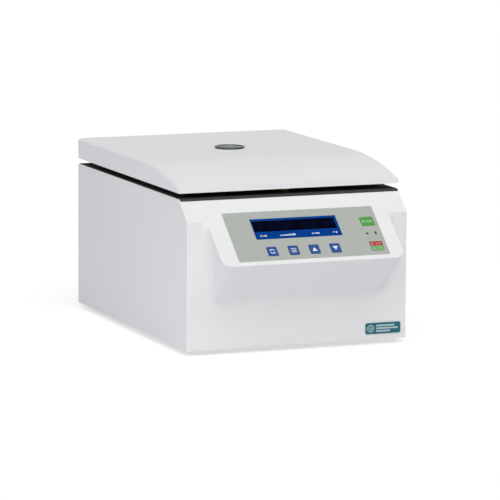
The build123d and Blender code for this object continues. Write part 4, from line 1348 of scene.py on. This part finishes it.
class CENTRIFUGE_OT_stage(bpy.types.Operator):
    """Pale floor, soft studio light and the camera"""

    bl_idname = "centrifuge.stage"
    bl_label = "Stage"

    def execute(self, context):
        scene = context.scene
        stage = scene.centrifuge_stage
        self.floor(CAD_BOX[0].z)
        self.world(stage.sky)
        self.soft_box(stage)
        self.fill_light(stage)
        self.camera(stage)
        scene.view_settings.view_transform = "Standard"
        scene.view_settings.look = "None"
        return {"FINISHED"}

    def floor(self, level):
        """A floor so wide that its edge is never seen."""
        half = 60.0
        shape = bmesh.new()
        corners = [(-half, -half), (half, -half), (half, half), (-half, half)]
        shape.faces.new([shape.verts.new((x, y, level)) for x, y in corners])
        mesh = mesh_of("floor", shape)
        ground = bpy.data.objects.new("floor", mesh)
        mesh.materials.append(finish_named("pale_floor"))
        bpy.context.scene.collection.objects.link(ground)

    def world(self, strength):
        """Even light, a little cooler and weaker from straight above."""
        world = bpy.data.worlds.new("studio")
        world.use_nodes = True
        tree = world.node_tree
        up = add(tree, "SeparateXYZ", {"Vector": add(tree, "TexCoord").outputs["Generated"]}).outputs["Z"]
        above = stretched(tree, up, 0.1, 0.9)
        light = mixed(tree, above, (0.94, 0.975, 1.03, 1.0), (0.89, 0.955, 1.03, 1.0))
        background = tree.nodes["Background"]
        tree.links.new(light, background.inputs["Color"])
        background.inputs["Strength"].default_value = strength
        bpy.context.scene.world = world

    def soft_box(self, stage):
        """A very broad light from above the front left."""
        lamp = bpy.data.lights.new("soft_box", "SUN")
        lamp.energy = stage.key
        lamp.color = (1.0, 0.985, 0.925)
        lamp.angle = math.radians(70)
        holder = bpy.data.objects.new("soft_box", lamp)
        holder.rotation_euler = Vector(stage.key_from).to_track_quat("-Z", "Y").to_euler()
        bpy.context.scene.collection.objects.link(holder)

    def fill_light(self, stage):
        """A small soft light beside the front left corner, which lifts the side's lower front."""
        lamp = bpy.data.lights.new("fill_light", "AREA")
        lamp.energy = stage.fill
        lamp.shape = "RECTANGLE"
        lamp.size, lamp.size_y = 0.40, 0.12
        holder = bpy.data.objects.new("fill_light", lamp)
        holder.location = stage.fill_place
        holder.rotation_euler = Vector((1.0, 0.0, 0.0)).to_track_quat("-Z", "Y").to_euler()
        holder.visible_camera = False
        bpy.context.scene.collection.objects.link(holder)

    def camera(self, stage):
        """The camera at its place, turned, tilted and rolled."""
        data = bpy.data.cameras.new("camera")
        data.sensor_width = 36.0
        data.lens = stage.focal_length
        data.clip_start = 0.05
        data.clip_end = 200.0
        holder = bpy.data.objects.new("camera", data)
        turn = Matrix.Rotation(-stage.heading, 4, "Z") @ Matrix.Rotation(math.pi / 2 - stage.tilt, 4, "X")
        turn = turn @ Matrix.Rotation(stage.roll, 4, "Z")
        holder.matrix_world = Matrix.Translation(stage.camera_place) @ turn
        bpy.context.scene.collection.objects.link(holder)
        bpy.context.scene.camera = holder


PIECES = (
    CENTRIFUGE_OT_casing, CENTRIFUGE_OT_lid, CENTRIFUGE_OT_sight_glass, CENTRIFUGE_OT_hinges,
    CENTRIFUGE_OT_console, CENTRIFUGE_OT_display, CENTRIFUGE_OT_keys, CENTRIFUGE_OT_badge,
    CENTRIFUGE_OT_chamber, CENTRIFUGE_OT_rotor, CENTRIFUGE_OT_drive, CENTRIFUGE_OT_lock,
    CENTRIFUGE_OT_electronics, CENTRIFUGE_OT_rear, CENTRIFUGE_OT_stage,
)


class CENTRIFUGE_PT_parts(bpy.types.Panel):
    """Every piece of the centrifuge and its settings"""

    bl_idname = "CENTRIFUGE_PT_parts"
    bl_label = "Bench Centrifuge"
    bl_space_type = "VIEW_3D"
    bl_region_type = "UI"
    bl_category = "Centrifuge"

    def draw(self, context):
        layout = self.layout
        scene = context.scene
        for settings in (scene.centrifuge_finish, scene.centrifuge_print, scene.centrifuge_stage):
            box = layout.box()
            for name in settings.__annotations__:
                box.prop(settings, name)
        for piece in PIECES:
            layout.operator(piece.bl_idname)


CLASSES = (CentrifugeFinish, CentrifugePrint, CentrifugeStage) + PIECES + (CENTRIFUGE_PT_parts,)


def register():
    for item in CLASSES:
        bpy.utils.register_class(item)
    bpy.types.Scene.centrifuge_finish = PointerProperty(type=CentrifugeFinish)
    bpy.types.Scene.centrifuge_print = PointerProperty(type=CentrifugePrint)
    bpy.types.Scene.centrifuge_stage = PointerProperty(type=CentrifugeStage)


def unregister():
    for name in ("centrifuge_finish", "centrifuge_print", "centrifuge_stage"):
        delattr(bpy.types.Scene, name)
    for item in reversed(CLASSES):
        bpy.utils.unregister_class(item)


def main():
    """Makes every piece in order."""
    register()
    for piece in PIECES:
        group, name = piece.bl_idname.split(".")
        getattr(getattr(bpy.ops, group), name)()


if __name__ == "__main__":
    main()
